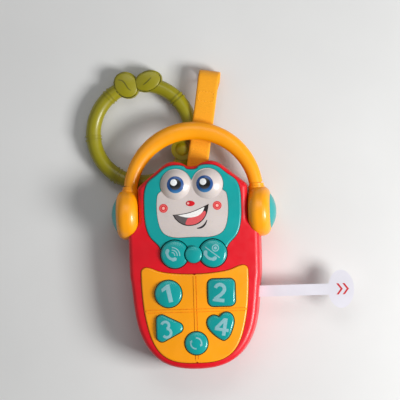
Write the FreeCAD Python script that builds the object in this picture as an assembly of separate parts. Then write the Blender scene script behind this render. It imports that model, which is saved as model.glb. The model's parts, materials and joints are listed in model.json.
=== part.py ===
import FreeCAD, Part
import math
import os

from FreeCAD import Vector

# A toy phone lying on its flat back.  Millimetres, +X to the phone's right, +Y towards its head,
# +Z out of its face.  The origin is on the flat back, under the middle of the body.

# ---- driving dimensions -------------------------------------------------------------------------
Z_FRONT = 34.0            # front surface of the body, on its centre line
Z_SPLIT = 20.0            # joint between the two shells, through the headset's axis
Z_HEAD_BACK = 15.0        # back of the head, raised so that strap and ring pass behind it
STEP_START = 38.0         # where the flat back ends and the ramp to the head begins
STEP_END = 45.0
WALL = 2.2                # shell wall
CROWN_RADIUS = 320.0      # the whole front is part of a cylinder along Y
EDGE_ROUND = 4.0          # rounded rim of both shells
SEAT_Z = 30.0             # underside of the parts set into the front shell
LEDGE_DEPTH = 2.0         # ledge that carries them
LEDGE_WIDTH = 1.8
FIT_GAP = 0.3             # around parts that are set in and glued or clamped
MOVE_GAP = 0.4            # around parts that move
KEY_GAP = 0.6             # around keys and buttons

BODY_HALF = 47.0          # half width of the lower body
HEAD_HALF = 39.2          # half width of the head
BOTTOM_Y = -74.5

AXIS_Y = 37.1             # the headset turns about a line along X through this point
AXIS_Z = 20.0
CUP_RADIUS = 17.9
CUP_INNER_X = 39.6
CUP_OUTER_X = 55.3
PIVOT_RADIUS = 3.0
PIVOT_CLEARANCE = 0.08
COLLAR_X = 45.6
COLLAR_RADIUS = 5.9
COLLAR_TOP_Y = 57.4
CAP_RADIUS = 12.4          # domed cap that closes the cup from outside
CAP_DOME = 4.0
CUP_WELL = 10.8            # well behind the cap, with the cup's screw on its floor
CUP_WELL_FLOOR = 49.0
PIN_END = 47.0

ARCH_CENTRE_Y = 50.7
ARCH_RADIUS = 45.6
BAND_DEPTH = 9.5          # thickness of the headband along Z
BAND_WIDTH_TOP = 12.9
BAND_WIDTH_END = 9.7

KEY_TRAVEL = 1.5
KEY_TOP = 37.0
KEY_FLANGE = 1.2
BUTTON_X = 13.7           # the two bow-shaped call buttons
BUTTON_Y = 8.0
BUTTON_RADIUS = 10.1
KNOT_Y = 7.5
KNOT_RADIUS = 6.2
KNOT_DOME_RADIUS = 19.0
KEY_COLUMN = 19.0
KEY_ROW_1 = -20.2
KEY_ROW_2 = -44.7
REDIAL_Y = -56.0
SEAM_Y = -32.5              # the panel's cross rib
RIB_HALF = 0.75
GROOVE_OFFSET = 1.0
GROOVE_WIDTH = 0.5

EYE_X = 11.3
EYE_Y = 57.7
EYE_RADIUS = 11.3
EYE_BULGE = 5.2

BOARD_Z = 21.0
BOARD_THICKNESS = 1.6
MAT_THICKNESS = 0.8
DOME_HEIGHT = 0.8

AAA_RADIUS = 5.2
AAA_LENGTH = 43.6
BATTERY_X = 5.8
BATTERY_Z = 8.2
BAY_HALF = 11.8
BAY_BOTTOM = -56.0
BAY_TOP = -7.6
BAY_CEILING = 14.2
DOOR_HALF = 14.6
DOOR_THICKNESS = 1.9
DOOR_BOTTOM = -58.4
DOOR_TOP = -4.4
DOOR_SCREW_Y = -1.6
DOOR_TAB_RADIUS = 5.0

SPEAKER_Y = 18.0
SPEAKER_RADIUS = 13.0
SPEAKER_POST_X = 16.4

STRAP_PIN_Y = 52.0
STRAP_PIN_Z = 9.0
STRAP_PIN_RADIUS = 1.6
STRAP_WIDTH = 15.0
STRAP_PLY = 1.1
STRAP_LEAN = 9.0          # degrees to +X
STRAP_UNDERSIDE = 12.4    # underside of the doubled webbing where it crosses the ring
STRAP_END = 88.8          # from the pin to the far fold

RING_X = -36.9
RING_Y = 95.9
RING_Z = 6.3
RING_RADIUS = 35.5
TUBE_RADIUS = 5.4
RIDGE_RADIUS = 6.0
CLASP_ANGLE = 94.0
BOSS_X = -7.8
BOSS_Y = 83.5
BOSS_RADIUS = 8.0
KNUCKLE_GAP = 0.3
RIVET_RADIUS = 2.5
KEEPER_ANGLE = -58.0        # the keeper sits behind the head
LEFT_LEAF = (-47.1, 131.0, 9.2, 7.9, 125)    # centre x and y, half axes, turn
RIGHT_LEAF = (-31.4, 133.4, 9.4, 6.6, 20)
LEAF_LINE_X = -39.6        # the two halves of the clasp meet here
LEAF_GAP = 0.3
LEAF_SPLIT_Z = 8.6
LEAF_TOP = 13.0
KNUCKLE_SPLIT = 6.2
KNUCKLE_TOP = 10.7
TONGUE = (3.6, 3.6, 5.0)   # the clasp's snap tongue: width, height, length
TONGUE_TURN = 35.0         # it points the way it moves as the gate swings

TAB_Y = -20.5
TAB_THICKNESS = 0.3
TAB_Z = 18.6
TAB_WIDTH = 8.0
TAB_HEAD_X = 104.0

SCREW_RADIUS = 1.25
SCREW_HEAD_RADIUS = 2.5
SCREW_HEAD_HEIGHT = 1.5
PILOT_RADIUS = 1.3
BOSS_TUBE_RADIUS = 3.4
LOWER_SCREWS = [(-30.0, -57.0), (30.0, -57.0), (-40.3, 9.0), (40.3, 9.0)]
HEAD_SCREWS = [(-27.5, 57.0), (27.5, 57.0)]
BOARD_POSTS = [(-28.5, 3.0), (28.5, 3.0)]
PANEL_POST = (0.0, SEAM_Y)

SIDES = {"left": -1, "right": 1}


# ---- general helpers ----------------------------------------------------------------------------
def save(name, shape):
    shape.exportStep("parts/" + name + ".step")
    print(name, "solids", len(shape.Solids), "volume", round(shape.Volume), "valid", shape.isValid())


def spline(points, start=None, end=None):
    curve = Part.BSplineCurve()
    vectors = [Vector(x, y, 0) for x, y in points]
    if start:
        curve.interpolate(Points=vectors, InitialTangent=Vector(*start, 0), FinalTangent=Vector(*end, 0))
    else:
        curve.interpolate(vectors)
    return curve.toShape()


def line(a, b):
    return Part.makeLine(Vector(a[0], a[1], 0), Vector(b[0], b[1], 0))


def arc(a, middle, b):
    return Part.Arc(Vector(*a, 0), Vector(*middle, 0), Vector(*b, 0)).toShape()


def rounded_path(points, radii):
    """Straight runs through the points, with a tangent arc of the given radius at each inner one."""
    edges = []
    start = Vector(*points[0], 0)
    for i, radius in enumerate(radii):
        corner = Vector(*points[i + 1], 0)
        before = (start - corner).normalize()
        after = (Vector(*points[i + 2], 0) - corner).normalize()
        half = before.getAngle(after) / 2
        reach = radius / math.tan(half)
        middle = corner + (before + after).normalize() * (radius / math.sin(half) - radius)
        edges.append(Part.makeLine(start, corner + before * reach))
        edges.append(Part.Arc(corner + before * reach, middle, corner + after * reach).toShape())
        start = corner + after * reach
    edges.append(Part.makeLine(start, Vector(*points[-1], 0)))
    return edges


def mirrored_face(edges):
    """A face from the edges of its right half, from bottom to top, and their mirror images."""
    flipped = [edge.mirror(Vector(0, 0, 0), Vector(1, 0, 0)) for edge in edges]
    return Part.Face(Part.Wire(Part.__sortEdges__(edges + flipped)))


def polygon(points):
    closed = [Vector(x, y, 0) for x, y in points + points[:1]]
    return Part.Face(Part.makePolygon(closed))


def closed_spline(points):
    curve = Part.BSplineCurve()
    curve.interpolate(Points=[Vector(x, y, 0) for x, y in points], PeriodicFlag=True)
    return Part.Face(Part.Wire(curve.toShape()))


def circle(x, y, radius):
    edge = Part.makeCircle(radius, Vector(x, y, 0), Vector(0, 0, 1))
    return Part.Face(Part.Wire(edge))


def rounded_rectangle(x, y, half_x, half_y, radius):
    core = polygon([(x - half_x + radius, y - half_y + radius), (x + half_x - radius, y - half_y + radius),
                    (x + half_x - radius, y + half_y - radius), (x - half_x + radius, y + half_y - radius)])
    return grown(core, radius)


def plain_edge(edge):
    """The same edge as a whole circle, a line, an arc or a B-spline that ends exactly on its corners."""
    first = edge.valueAt(edge.FirstParameter)
    ends = sorted([corner.Point for corner in edge.Vertexes], key=first.distanceToPoint)
    if len(ends) == 1:
        return edge
    if isinstance(edge.Curve, Part.Line):
        return Part.LineSegment(*ends).toShape()
    if isinstance(edge.Curve, Part.Circle):
        middle = edge.valueAt((edge.FirstParameter + edge.LastParameter) / 2)
        return Part.Arc(ends[0], middle, ends[1]).toShape()
    curve = edge.Curve.toBSpline(edge.FirstParameter, edge.LastParameter)
    curve.setPole(1, ends[0])
    curve.setPole(curve.NbPoles, ends[1])
    return curve.toShape()


def grown(face, distance):
    """The face with its outline moved out by distance, drawn with plain curves only."""
    outline = face.makeOffset2D(distance).OuterWire
    return Part.Face(Part.Wire([plain_edge(edge) for edge in outline.OrderedEdges]))


def prism(face, low, high):
    return face.translated(Vector(0, 0, low)).extrude(Vector(0, 0, high - low))


def box(low, high):
    size = [b - a for a, b in zip(low, high)]
    return Part.makeBox(*size, Vector(*low))


def rod(x, y, low, high, radius):
    return Part.makeCylinder(radius, high - low, Vector(x, y, low))


def rod_x(y, z, low, high, radius):
    return Part.makeCylinder(radius, high - low, Vector(low, y, z), Vector(1, 0, 0))


def rod_y(x, z, low, high, radius):
    return Part.makeCylinder(radius, high - low, Vector(x, low, z), Vector(0, 1, 0))


def joined(shapes):
    return shapes[0].multiFuse(shapes[1:]).removeSplitter()


def crowned(solid, top):
    """The part of a solid below the front's cylinder, which reaches top on the centre line."""
    drum = Part.makeCylinder(CROWN_RADIUS, 500, Vector(0, -250, top - CROWN_RADIUS), Vector(0, 1, 0))
    return solid.common(drum)


def highest_face_edges(solid):
    faces = sorted(solid.Faces, key=lambda face: face.CenterOfMass.z)
    return faces[-1].OuterWire.Edges


def round_top(solid, radius):
    return solid.makeFillet(radius, highest_face_edges(solid))


def domed(face, low, top, edge, bulge):
    """A button cap: straight sides, a rounded top edge and a top that is part of a sphere."""
    centre = face.CenterOfMass
    reach = max(vertex.Point.distanceToPoint(centre) for vertex in face.Vertexes)
    reach = max(reach, face.BoundBox.XLength / 2)
    ball_radius = (reach ** 2 + bulge ** 2) / (2 * bulge)
    ball = Part.makeSphere(ball_radius, Vector(centre.x, centre.y, top - ball_radius))
    cap = prism(face, low, top).common(ball)
    return round_top(cap, edge)


def turned_about_x(profile):
    """A solid turned about the headset's axis from (x, radius) points."""
    face = polygon(profile)
    solid = face.revolve(Vector(0, 0, 0), Vector(1, 0, 0), 360)
    return solid.translated(Vector(0, AXIS_Y, AXIS_Z))


def on_side(solid, side):
    return solid if side > 0 else solid.mirror(Vector(0, 0, 0), Vector(1, 0, 0))


# ---- outlines, seen from the front --------------------------------------------------------------
def body_outline():
    slope = (-0.781, 0.625)
    shoulder = (22.6, 70.0)
    return mirrored_face([
        spline([(0, BOTTOM_Y), (14, -73.2), (25, -69), (34, -60.6), (40, -49.5), (43.8, -34),
                (46.1, -12), (BODY_HALF, 8)], (1, 0), (0, 1)),
        *rounded_path([(BODY_HALF, 8), (BODY_HALF, 25.0), (HEAD_HALF, 31.4), (HEAD_HALF, 56.7), shoulder],
                      [4.6, 3.0, 4.8]),
        spline([shoulder, (13, 74.3), (6.5, 72.6), (0, 70.7)], slope, (-1, 0)),
    ])


def bezel_outline():
    """The surround of the face.  Its lower edge lies inside the holes of the two call buttons."""
    hem = (23.2, 10.0)
    return mirrored_face([
        line((0, hem[1]), hem),
        spline([hem, (25.2, 14.2), (30.2, 19.5), (33.4, 26), (34.7, 34), (34.9, 45)], (0.3, 0.95), (0, 1)),
        spline([(34.9, 45), (34.4, 53), (31.6, 60), (25.4, 64.9), (19.6, 69.6), (11.6, 71.7),
                (5, 70.4), (0, 68.5)], (0, 1), (-1, 0)),
    ])


def face_outline():
    angles = [math.radians(degrees) for degrees in (-22, 60, 161)]
    eye = [(EYE_X + EYE_RADIUS * math.cos(angle), EYE_Y + EYE_RADIUS * math.sin(angle)) for angle in angles]
    return mirrored_face([
        spline([(0, 20.1), (15, 20.4), (21, 23.2), (24.4, 30), (25.6, 40), (25.2, 48), (24.3, 51.4),
                eye[0]], (1, 0), (-0.75, 0.66)),
        arc(*eye),
        line(eye[2], (0, eye[2][1] - 0.6)),
    ])


def panel_outline():
    return mirrored_face([
        spline([(0, -70.2), (9, -69.9), (18, -68), (26, -62.8), (32, -53), (35.4, -41), (37.6, -27),
                (38.5, -12), (38.5, -5)], (1, 0), (0, 1)),
        arc((38.5, -5), (37.4, -2.0), (34.6, -0.9)),
        spline([(34.6, -0.9), (27, -3.4), (16, -5.6), (0, -6.5)], (-1, -0.1), (-1, 0)),
    ])


def triangle_key_outline():
    core = polygon([(-KEY_COLUMN - 5.6, KEY_ROW_2 - 5.8), (-KEY_COLUMN + 5.8, KEY_ROW_2 + 0.1),
                    (-KEY_COLUMN - 5.6, KEY_ROW_2 + 5.8)])
    return grown(core, 3.8)


def heart_key_outline():
    half = [(0, -9.9), (2.4, -8.9), (7.2, -3.2), (9.6, 2.2), (8.6, 7.2), (4.9, 9.2), (1.6, 8.2)]
    left = [(-x, y) for x, y in reversed(half[1:])]
    face = closed_spline(half + [(0, 7.2)] + left)
    face.rotate(Vector(0, 0, 0), Vector(0, 0, 1), 12)
    return face.translated(Vector(KEY_COLUMN - 0.6, KEY_ROW_2 + 0.2, 0))


KEY_OUTLINES = {
    "key_1": circle(-KEY_COLUMN, KEY_ROW_1, 9.7),
    "key_2": rounded_rectangle(KEY_COLUMN, KEY_ROW_1, 9.8, 9.8, 4.0),
    "key_3": triangle_key_outline(),
    "key_4": heart_key_outline(),
    "key_redial": circle(0, REDIAL_Y, 8.2),
}
BUTTONS = {"key_call": -BUTTON_X, "key_hang_up": BUTTON_X}
BODY = body_outline()
BEZEL = bezel_outline()
FACE = face_outline()
PANEL = panel_outline()


# ---- headset ------------------------------------------------------------------------------------
def cup_profile(gap):
    """(x, radius) points of an ear cup, both edges rounded, grown by gap."""
    inner_x = CUP_INNER_X - gap
    outer_x = CUP_OUTER_X + gap
    radius = CUP_RADIUS + gap
    inner_round = 7.2 + gap
    outer_round = 6.2 + gap
    steps = 8
    points = [(inner_x, 0)]
    for i in range(steps + 1):
        angle = math.radians(90 * i / steps)
        points.append((inner_x + inner_round * (1 - math.cos(angle)),
                       radius - inner_round * (1 - math.sin(angle))))
    for i in range(steps + 1):
        angle = math.radians(90 * i / steps)
        points.append((outer_x - outer_round * (1 - math.sin(angle)),
                       radius - outer_round * (1 - math.cos(angle))))
    points.append((outer_x, 0))
    return points


def ear_cup():
    cup = turned_about_x(cup_profile(0))
    collar = rod_y(COLLAR_X, AXIS_Z, AXIS_Y + 8, COLLAR_TOP_Y - 2, COLLAR_RADIUS)
    step = rod_y(COLLAR_X, AXIS_Z, COLLAR_TOP_Y - 2, COLLAR_TOP_Y, COLLAR_RADIUS - 0.6)
    well = rod_x(AXIS_Y, AXIS_Z, CUP_WELL_FLOOR, CUP_OUTER_X + 1, CUP_WELL)
    pin_hole = rod_x(AXIS_Y, AXIS_Z, CUP_INNER_X - 1, PIN_END, PIVOT_RADIUS)
    screw_hole = rod_x(AXIS_Y, AXIS_Z, PIN_END - 1, CUP_WELL_FLOOR + 1, PILOT_RADIUS + 0.1)
    peg_hole = rod_y(COLLAR_X, AXIS_Z, AXIS_Y + 12, COLLAR_TOP_Y + 1, 3.6)
    return joined([cup, collar, step]).cut(well).cut(pin_hole).cut(screw_hole).cut(peg_hole)


def ear_cap():
    ball_radius = (CAP_RADIUS ** 2 + CAP_DOME ** 2) / (2 * CAP_DOME)
    base = CUP_OUTER_X + 0.05
    ball = Part.makeSphere(ball_radius, Vector(base + CAP_DOME - ball_radius, AXIS_Y, AXIS_Z))
    dome = ball.common(rod_x(AXIS_Y, AXIS_Z, base, base + 10, CAP_RADIUS))
    spigot = rod_x(AXIS_Y, AXIS_Z, base - 3.5, base, CUP_WELL - 0.15)
    hollow = rod_x(AXIS_Y, AXIS_Z, base - 4, base, CUP_WELL - 1.6)
    return joined([dome, spigot]).cut(hollow)


def pivot_pin():
    pin = rod_x(AXIS_Y, AXIS_Z, 34.6, PIN_END, PIVOT_RADIUS)
    flange = rod_x(AXIS_Y, AXIS_Z, 34.6, 36.0, 5.0)
    pilot = rod_x(AXIS_Y, AXIS_Z, 39.0, PIN_END + 1, PILOT_RADIUS)
    return joined([pin, flange]).cut(pilot)


def pivot_washer():
    return rod_x(AXIS_Y, AXIS_Z, 36.02, 36.6, 4.8).cut(rod_x(AXIS_Y, AXIS_Z, 36, 37, PIVOT_RADIUS + 0.02))


def cup_screw():
    shank = rod_x(AXIS_Y, AXIS_Z, 40.0, CUP_WELL_FLOOR, SCREW_RADIUS)
    head = rod_x(AXIS_Y, AXIS_Z, CUP_WELL_FLOOR, CUP_WELL_FLOOR + SCREW_HEAD_HEIGHT, SCREW_HEAD_RADIUS)
    slot = box((CUP_WELL_FLOOR + 0.9, AXIS_Y - 1.8, AXIS_Z - 0.3),
               (CUP_WELL_FLOOR + 3, AXIS_Y + 1.8, AXIS_Z + 0.3))
    return joined([shank, head]).cut(slot)


def headband():
    """A half ring whose width grows towards the top, on two pegs."""
    first = math.degrees(math.asin((COLLAR_TOP_Y + 0.05 - ARCH_CENTRE_Y) / ARCH_RADIUS))
    count = 13
    sections = []
    for i in range(count):
        angle = math.radians(first + (180 - 2 * first) * i / (count - 1))
        width = BAND_WIDTH_END + (BAND_WIDTH_TOP - BAND_WIDTH_END) * math.sin(angle) ** 1.5
        outward = Vector(math.cos(angle), math.sin(angle), 0)
        centre = Vector(0, ARCH_CENTRE_Y, AXIS_Z) + outward * ARCH_RADIUS
        edge = centre + outward * (width / 2)
        ellipse = Part.Ellipse(edge, centre + Vector(0, 0, BAND_DEPTH / 2), centre)
        sections.append(Part.Wire(ellipse.toShape()))
    band = Part.makeLoft(sections, True, False)
    trim = box((-70, COLLAR_TOP_Y - 20, 0), (70, COLLAR_TOP_Y + 0.05, 40))
    pegs = [rod_y(side * COLLAR_X, AXIS_Z, AXIS_Y + 12.2, COLLAR_TOP_Y + 1.5, 3.5) for side in (-1, 1)]
    return joined([band.cut(trim)] + pegs)


def headset_nodes():
    nodes = {"headband": headband()}
    for word, side in SIDES.items():
        nodes[word + "_ear_cup"] = on_side(ear_cup(), side)
        nodes[word + "_ear_cap"] = on_side(ear_cap(), side)
    nodes["pivot_pins"] = Part.Compound([on_side(pivot_pin(), side) for side in (-1, 1)])
    nodes["pivot_washers"] = Part.Compound([on_side(pivot_washer(), side) for side in (-1, 1)])
    nodes["cup_screws"] = Part.Compound([on_side(cup_screw(), side) for side in (-1, 1)])
    return nodes


# ---- front of the case --------------------------------------------------------------------------
def cup_clearances():
    """What the shells give up to the ear cups and to the pins that carry them."""
    clearances = []
    for side in (-1, 1):
        clearances.append(on_side(turned_about_x(cup_profile(MOVE_GAP)), side))
        bearing = rod_x(AXIS_Y, AXIS_Z, 30, HEAD_HALF + 1, PIVOT_RADIUS + PIVOT_CLEARANCE)
        clearances.append(on_side(bearing, side))
    return clearances


def hollow_outline():
    return grown(BODY, -WALL)


def button_holes(low, high, gap):
    return [rod(x, BUTTON_Y, low, high, BUTTON_RADIUS + gap) for x in BUTTONS.values()]


def front_shell():
    outer = round_top(crowned(prism(BODY, Z_SPLIT, Z_FRONT + 5), Z_FRONT), EDGE_ROUND)
    hollow = crowned(prism(hollow_outline(), Z_SPLIT - 1, Z_FRONT), Z_FRONT - WALL)
    ledge_z = SEAT_Z - LEDGE_DEPTH
    kept = [prism(grown(face, 1.6), ledge_z, Z_FRONT) for face in (BEZEL, PANEL)]
    kept.append(rod(0, KNOT_Y, ledge_z, Z_FRONT, KNOT_RADIUS + 1.6))
    kept += [rod(x, y, Z_SPLIT, Z_FRONT, BOSS_TUBE_RADIUS) for x, y in LOWER_SCREWS]
    kept += [rod(x, y, BOARD_Z + BOARD_THICKNESS, Z_FRONT, 2.6) for x, y in BOARD_POSTS]
    shell = outer.cut(hollow.cut(kept))
    cutters = button_holes(Z_SPLIT, Z_FRONT + 5, KEY_GAP) + cup_clearances()
    cutters.append(rod(0, KNOT_Y, SEAT_Z, Z_FRONT + 5, KNOT_RADIUS + FIT_GAP))
    for face in (BEZEL, PANEL):
        cutters.append(prism(grown(face, FIT_GAP), SEAT_Z, Z_FRONT + 5))
        cutters.append(prism(grown(face, -LEDGE_WIDTH), Z_SPLIT, Z_FRONT + 5))
    cutters += [rod(x, y, Z_SPLIT - 1, Z_FRONT - 6, PILOT_RADIUS) for x, y in LOWER_SCREWS + BOARD_POSTS]
    return shell.cut(cutters)


def face_bezel():
    plate = round_top(crowned(prism(BEZEL, SEAT_Z, Z_FRONT + 5), Z_FRONT + 0.6), 1.2)
    cutters = button_holes(SEAT_Z - 1, Z_FRONT + 5, KEY_GAP)
    cutters.append(prism(grown(FACE, FIT_GAP), SEAT_Z - 1, Z_FRONT + 5))
    knot = rod(0, KNOT_Y, SEAT_Z, KEY_TOP + 1.0, KNOT_RADIUS)
    dome_centre = Vector(0, KNOT_Y, KEY_TOP + 0.6 - KNOT_DOME_RADIUS)
    knot = knot.common(Part.makeSphere(KNOT_DOME_RADIUS, dome_centre))
    posts = [rod(x, y, Z_SPLIT + 0.1, SEAT_Z, 3.0) for x, y in HEAD_SCREWS]
    pilots = [rod(x, y, Z_SPLIT - 1, SEAT_Z - 1, PILOT_RADIUS) for x, y in HEAD_SCREWS]
    return joined([plate.cut(cutters), round_top(knot, 1.4)] + posts).cut(pilots)


def face_plate():
    plate = crowned(prism(FACE, SEAT_Z - 2, Z_FRONT + 5), Z_FRONT + 0.4)
    flange = prism(grown(FACE, 1.2), SEAT_Z - 2.8, SEAT_Z - 1.0).common(box((-40, 0, 0), (40, 46, 40)))
    flange = flange.cut(button_holes(0, 40, KEY_FLANGE + KEY_GAP))
    ball_radius = (EYE_RADIUS ** 2 + EYE_BULGE ** 2) / (2 * EYE_BULGE)
    eyes = []
    for side in (-1, 1):
        centre = Vector(side * EYE_X, EYE_Y, Z_FRONT - 0.4 + EYE_BULGE - ball_radius)
        ball = Part.makeSphere(ball_radius, centre)
        column = rod(side * EYE_X, EYE_Y, SEAT_Z, Z_FRONT + 10, EYE_RADIUS - 0.1)
        eyes.append(ball.common(column))
    return joined([plate, flange] + eyes)


def keypad_panel():
    panel = round_top(crowned(prism(PANEL, SEAT_Z, Z_FRONT + 5), Z_FRONT + 0.7), 1.2)
    ribs = [
        box((-RIB_HALF, -72, SEAT_Z), (RIB_HALF, 0, Z_FRONT + 3)),
        box((-45, SEAM_Y - RIB_HALF, SEAT_Z), (45, SEAM_Y + RIB_HALF, Z_FRONT + 3)),
    ]
    rib = crowned(joined(ribs), Z_FRONT + 0.95).common(prism(grown(PANEL, -1.6), SEAT_Z, Z_FRONT + 5))
    panel = joined([panel, rib])
    grooves = []
    for middle in (-GROOVE_OFFSET, GROOVE_OFFSET):
        low = middle - GROOVE_WIDTH / 2
        high = middle + GROOVE_WIDTH / 2
        grooves.append(box((low, -67.5, Z_FRONT - 3), (high, -8, Z_FRONT + 5)))
        grooves.append(box((-35.2, SEAM_Y + low, Z_FRONT - 3), (35.2, SEAM_Y + high, Z_FRONT + 5)))
    floor = crowned(box((-60, -80, 0), (60, 20, 60)), Z_FRONT + 0.2)
    groove = joined(grooves).cut(floor)
    panel = panel.cut(groove)
    for x, y in ((0, -70.2), (0, -6.4), (-36.9, SEAM_Y), (36.9, SEAM_Y)):
        panel = panel.cut(rod(x, y, Z_FRONT - 1.6, Z_FRONT + 5, 1.0))
    for outline in KEY_OUTLINES.values():
        panel = panel.cut(prism(grown(outline, KEY_GAP), SEAT_Z - 1, Z_FRONT + 5))
    post = rod(PANEL_POST[0], PANEL_POST[1], BOARD_Z + BOARD_THICKNESS, SEAT_Z, 2.6)
    pilot = rod(PANEL_POST[0], PANEL_POST[1], BOARD_Z, SEAT_Z - 1, PILOT_RADIUS)
    return joined([panel, post]).cut(pilot)


def keypad_key(outline):
    cap = domed(outline, SEAT_Z - 0.4, KEY_TOP, 1.5, 1.4)
    flange = prism(grown(outline, KEY_FLANGE), SEAT_Z - 1.8, SEAT_Z - 0.3)
    centre = outline.CenterOfMass
    stem = rod(centre.x, centre.y, 26.0, SEAT_Z - 1.8, 3.0)
    return joined([cap, flange, stem])


def bow_button(x):
    cap = domed(circle(x, BUTTON_Y, BUTTON_RADIUS), SEAT_Z - 4.0, KEY_TOP, 2.2, 1.6)
    flange = rod(x, BUTTON_Y, SEAT_Z - 3.9, SEAT_Z - 2.4, BUTTON_RADIUS + KEY_FLANGE)
    button = joined([cap, flange])
    return button.cut(rod(0, KNOT_Y, 0, 60, KNOT_RADIUS + KEY_GAP))


def front_nodes():
    nodes = {
        "front_shell": front_shell(),
        "face_bezel": face_bezel(),
        "face_plate": face_plate(),
        "keypad_panel": keypad_panel(),
    }
    for name, outline in KEY_OUTLINES.items():
        nodes[name] = keypad_key(outline)
    for name, x in BUTTONS.items():
        nodes[name] = bow_button(x)
    return nodes


# ---- back of the case ---------------------------------------------------------------------------
def step_wedge(lift, back):
    """The space behind the head, moved up by lift and towards the keypad by back."""
    profile = [(STEP_START - back, -1), (STEP_START - back, lift), (STEP_END - back, Z_HEAD_BACK + lift),
               (100, Z_HEAD_BACK + lift), (100, -1)]
    face = Part.Face(Part.makePolygon([Vector(-80, y, z) for y, z in profile + profile[:1]]))
    return face.extrude(Vector(160, 0, 0))


def flat_back_edges(solid):
    faces = sorted(solid.Faces, key=lambda face: face.CenterOfMass.z)
    return [edge for edge in faces[0].OuterWire.Edges if edge.BoundBox.YMin < STEP_START - 0.5]


def grille_holes():
    pitch = 3.4
    holes = []
    for row in range(-3, 4):
        for column in range(-3, 4):
            x = pitch * (column + 0.5 * (row % 2))
            y = SPEAKER_Y + pitch * math.sqrt(3) / 2 * row
            if math.hypot(x, y - SPEAKER_Y) < 10.8:
                holes.append(rod(x, y, -1, WALL + 1, 0.9))
    return holes


def strap_lugs():
    lugs = []
    for side in (-1, 1):
        inner = side * (STRAP_WIDTH / 2 + 2.4)
        outer = inner + side * 3.2
        lugs.append(box((min(inner, outer), STRAP_PIN_Y - 4.2, STRAP_PIN_Z - 4.2),
                        (max(inner, outer), STRAP_PIN_Y + 4.2, Z_HEAD_BACK + 1)))
    return lugs


def door_outline(gap):
    plate = rounded_rectangle(0, (DOOR_BOTTOM + DOOR_TOP) / 2, DOOR_HALF + gap,
                              (DOOR_TOP - DOOR_BOTTOM) / 2 + gap, 2.5 + gap)
    tab = circle(0, DOOR_SCREW_Y - 0.6, DOOR_TAB_RADIUS + gap)
    return plate, tab


def back_shell():
    outer = prism(BODY, 0, Z_SPLIT).cut(step_wedge(0, 0))
    outer = outer.makeFillet(EDGE_ROUND, flat_back_edges(outer))
    hollow = prism(hollow_outline(), WALL, Z_SPLIT + 1).cut(step_wedge(WALL, 1.4))
    kept = [box((-BAY_HALF - 1.5, BAY_BOTTOM - 1.5, 0), (BAY_HALF + 1.5, BAY_TOP + 1.5, BAY_CEILING + 1.4))]
    kept += [prism(face, 0, 3.8) for face in door_outline(1.6)]
    kept.append(rod(0, DOOR_SCREW_Y, 0, 13, BOSS_TUBE_RADIUS))
    kept += [rod(x, y, 0, Z_SPLIT, BOSS_TUBE_RADIUS) for x, y in LOWER_SCREWS + HEAD_SCREWS]
    kept += [rod(side * SPEAKER_POST_X, SPEAKER_Y, 0, 5.0, 2.2) for side in (-1, 1)]
    shell = joined([outer.cut(hollow.cut(kept))] + strap_lugs())
    cutters = [box((-BAY_HALF, BAY_BOTTOM, -1), (BAY_HALF, BAY_TOP, BAY_CEILING))]
    cutters += [prism(face, -1, DOOR_THICKNESS + 0.1) for face in door_outline(0.25)]
    cutters.append(rod(0, DOOR_SCREW_Y, 0, 11, PILOT_RADIUS))
    for seat, screws in ((8.0, LOWER_SCREWS), (16.8, HEAD_SCREWS)):
        cutters += [rod(x, y, -1, seat, SCREW_HEAD_RADIUS + 0.3) for x, y in screws]
        cutters += [rod(x, y, 0, Z_SPLIT + 1, PILOT_RADIUS + 0.15) for x, y in screws]
    cutters += [rod(side * SPEAKER_POST_X, SPEAKER_Y, 2.4, 8, 0.9) for side in (-1, 1)]
    cutters += grille_holes() + cup_clearances()
    cutters.append(rod_x(STRAP_PIN_Y, STRAP_PIN_Z, -20, 20, STRAP_PIN_RADIUS))
    cutters.append(prism(BODY, Z_SPLIT - 0.5, Z_SPLIT + 1).cut(prism(grown(BODY, -0.4), 0, 30)))
    cutters.append(box((BODY_HALF - 8, TAB_Y - TAB_WIDTH / 2 - 0.5, TAB_Z - 0.3),
                       (BODY_HALF + 5, TAB_Y + TAB_WIDTH / 2 + 0.5, TAB_Z + TAB_THICKNESS + 0.3)))
    return shell.cut(cutters)


def battery_door():
    door = joined([prism(face, 0, DOOR_THICKNESS) for face in door_outline(0)])
    door = door.cut(rod(0, DOOR_SCREW_Y, -1, DOOR_THICKNESS - 0.6, SCREW_HEAD_RADIUS + 0.3))
    door = door.cut(rod(0, DOOR_SCREW_Y, -1, 5, PILOT_RADIUS + 0.15))
    grips = [box((-6, DOOR_BOTTOM + 4 + 2 * i, -1), (6, DOOR_BOTTOM + 4.8 + 2 * i, 0.5)) for i in range(4)]
    for grip in grips:
        door = door.cut(grip)
    return door


def pan_screw(x, y, head_top, length, radius=SCREW_RADIUS):
    """A screw put in from the back: its head ends at head_top and its shank goes on towards the face."""
    head = rod(x, y, head_top - SCREW_HEAD_HEIGHT + 0.2, head_top, SCREW_HEAD_RADIUS)
    shank = rod(x, y, head_top, head_top + length, radius)
    bottom = head_top - SCREW_HEAD_HEIGHT
    cross = [box((x - 1.5, y - 0.3, bottom), (x + 1.5, y + 0.3, bottom + 0.9)),
             box((x - 0.3, y - 1.5, bottom), (x + 0.3, y + 1.5, bottom + 0.9))]
    return joined([head, shank]).cut(cross[0]).cut(cross[1])


def case_screws():
    lower = [pan_screw(x, y, 8.0, 17.0) for x, y in LOWER_SCREWS]
    head = [pan_screw(x, y, 16.8, 10.0) for x, y in HEAD_SCREWS]
    return Part.Compound(lower + head)


def strap_pin():
    reach = STRAP_WIDTH / 2 + 2.4 + 3.2
    return rod_x(STRAP_PIN_Y, STRAP_PIN_Z, -reach, reach, STRAP_PIN_RADIUS)


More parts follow.
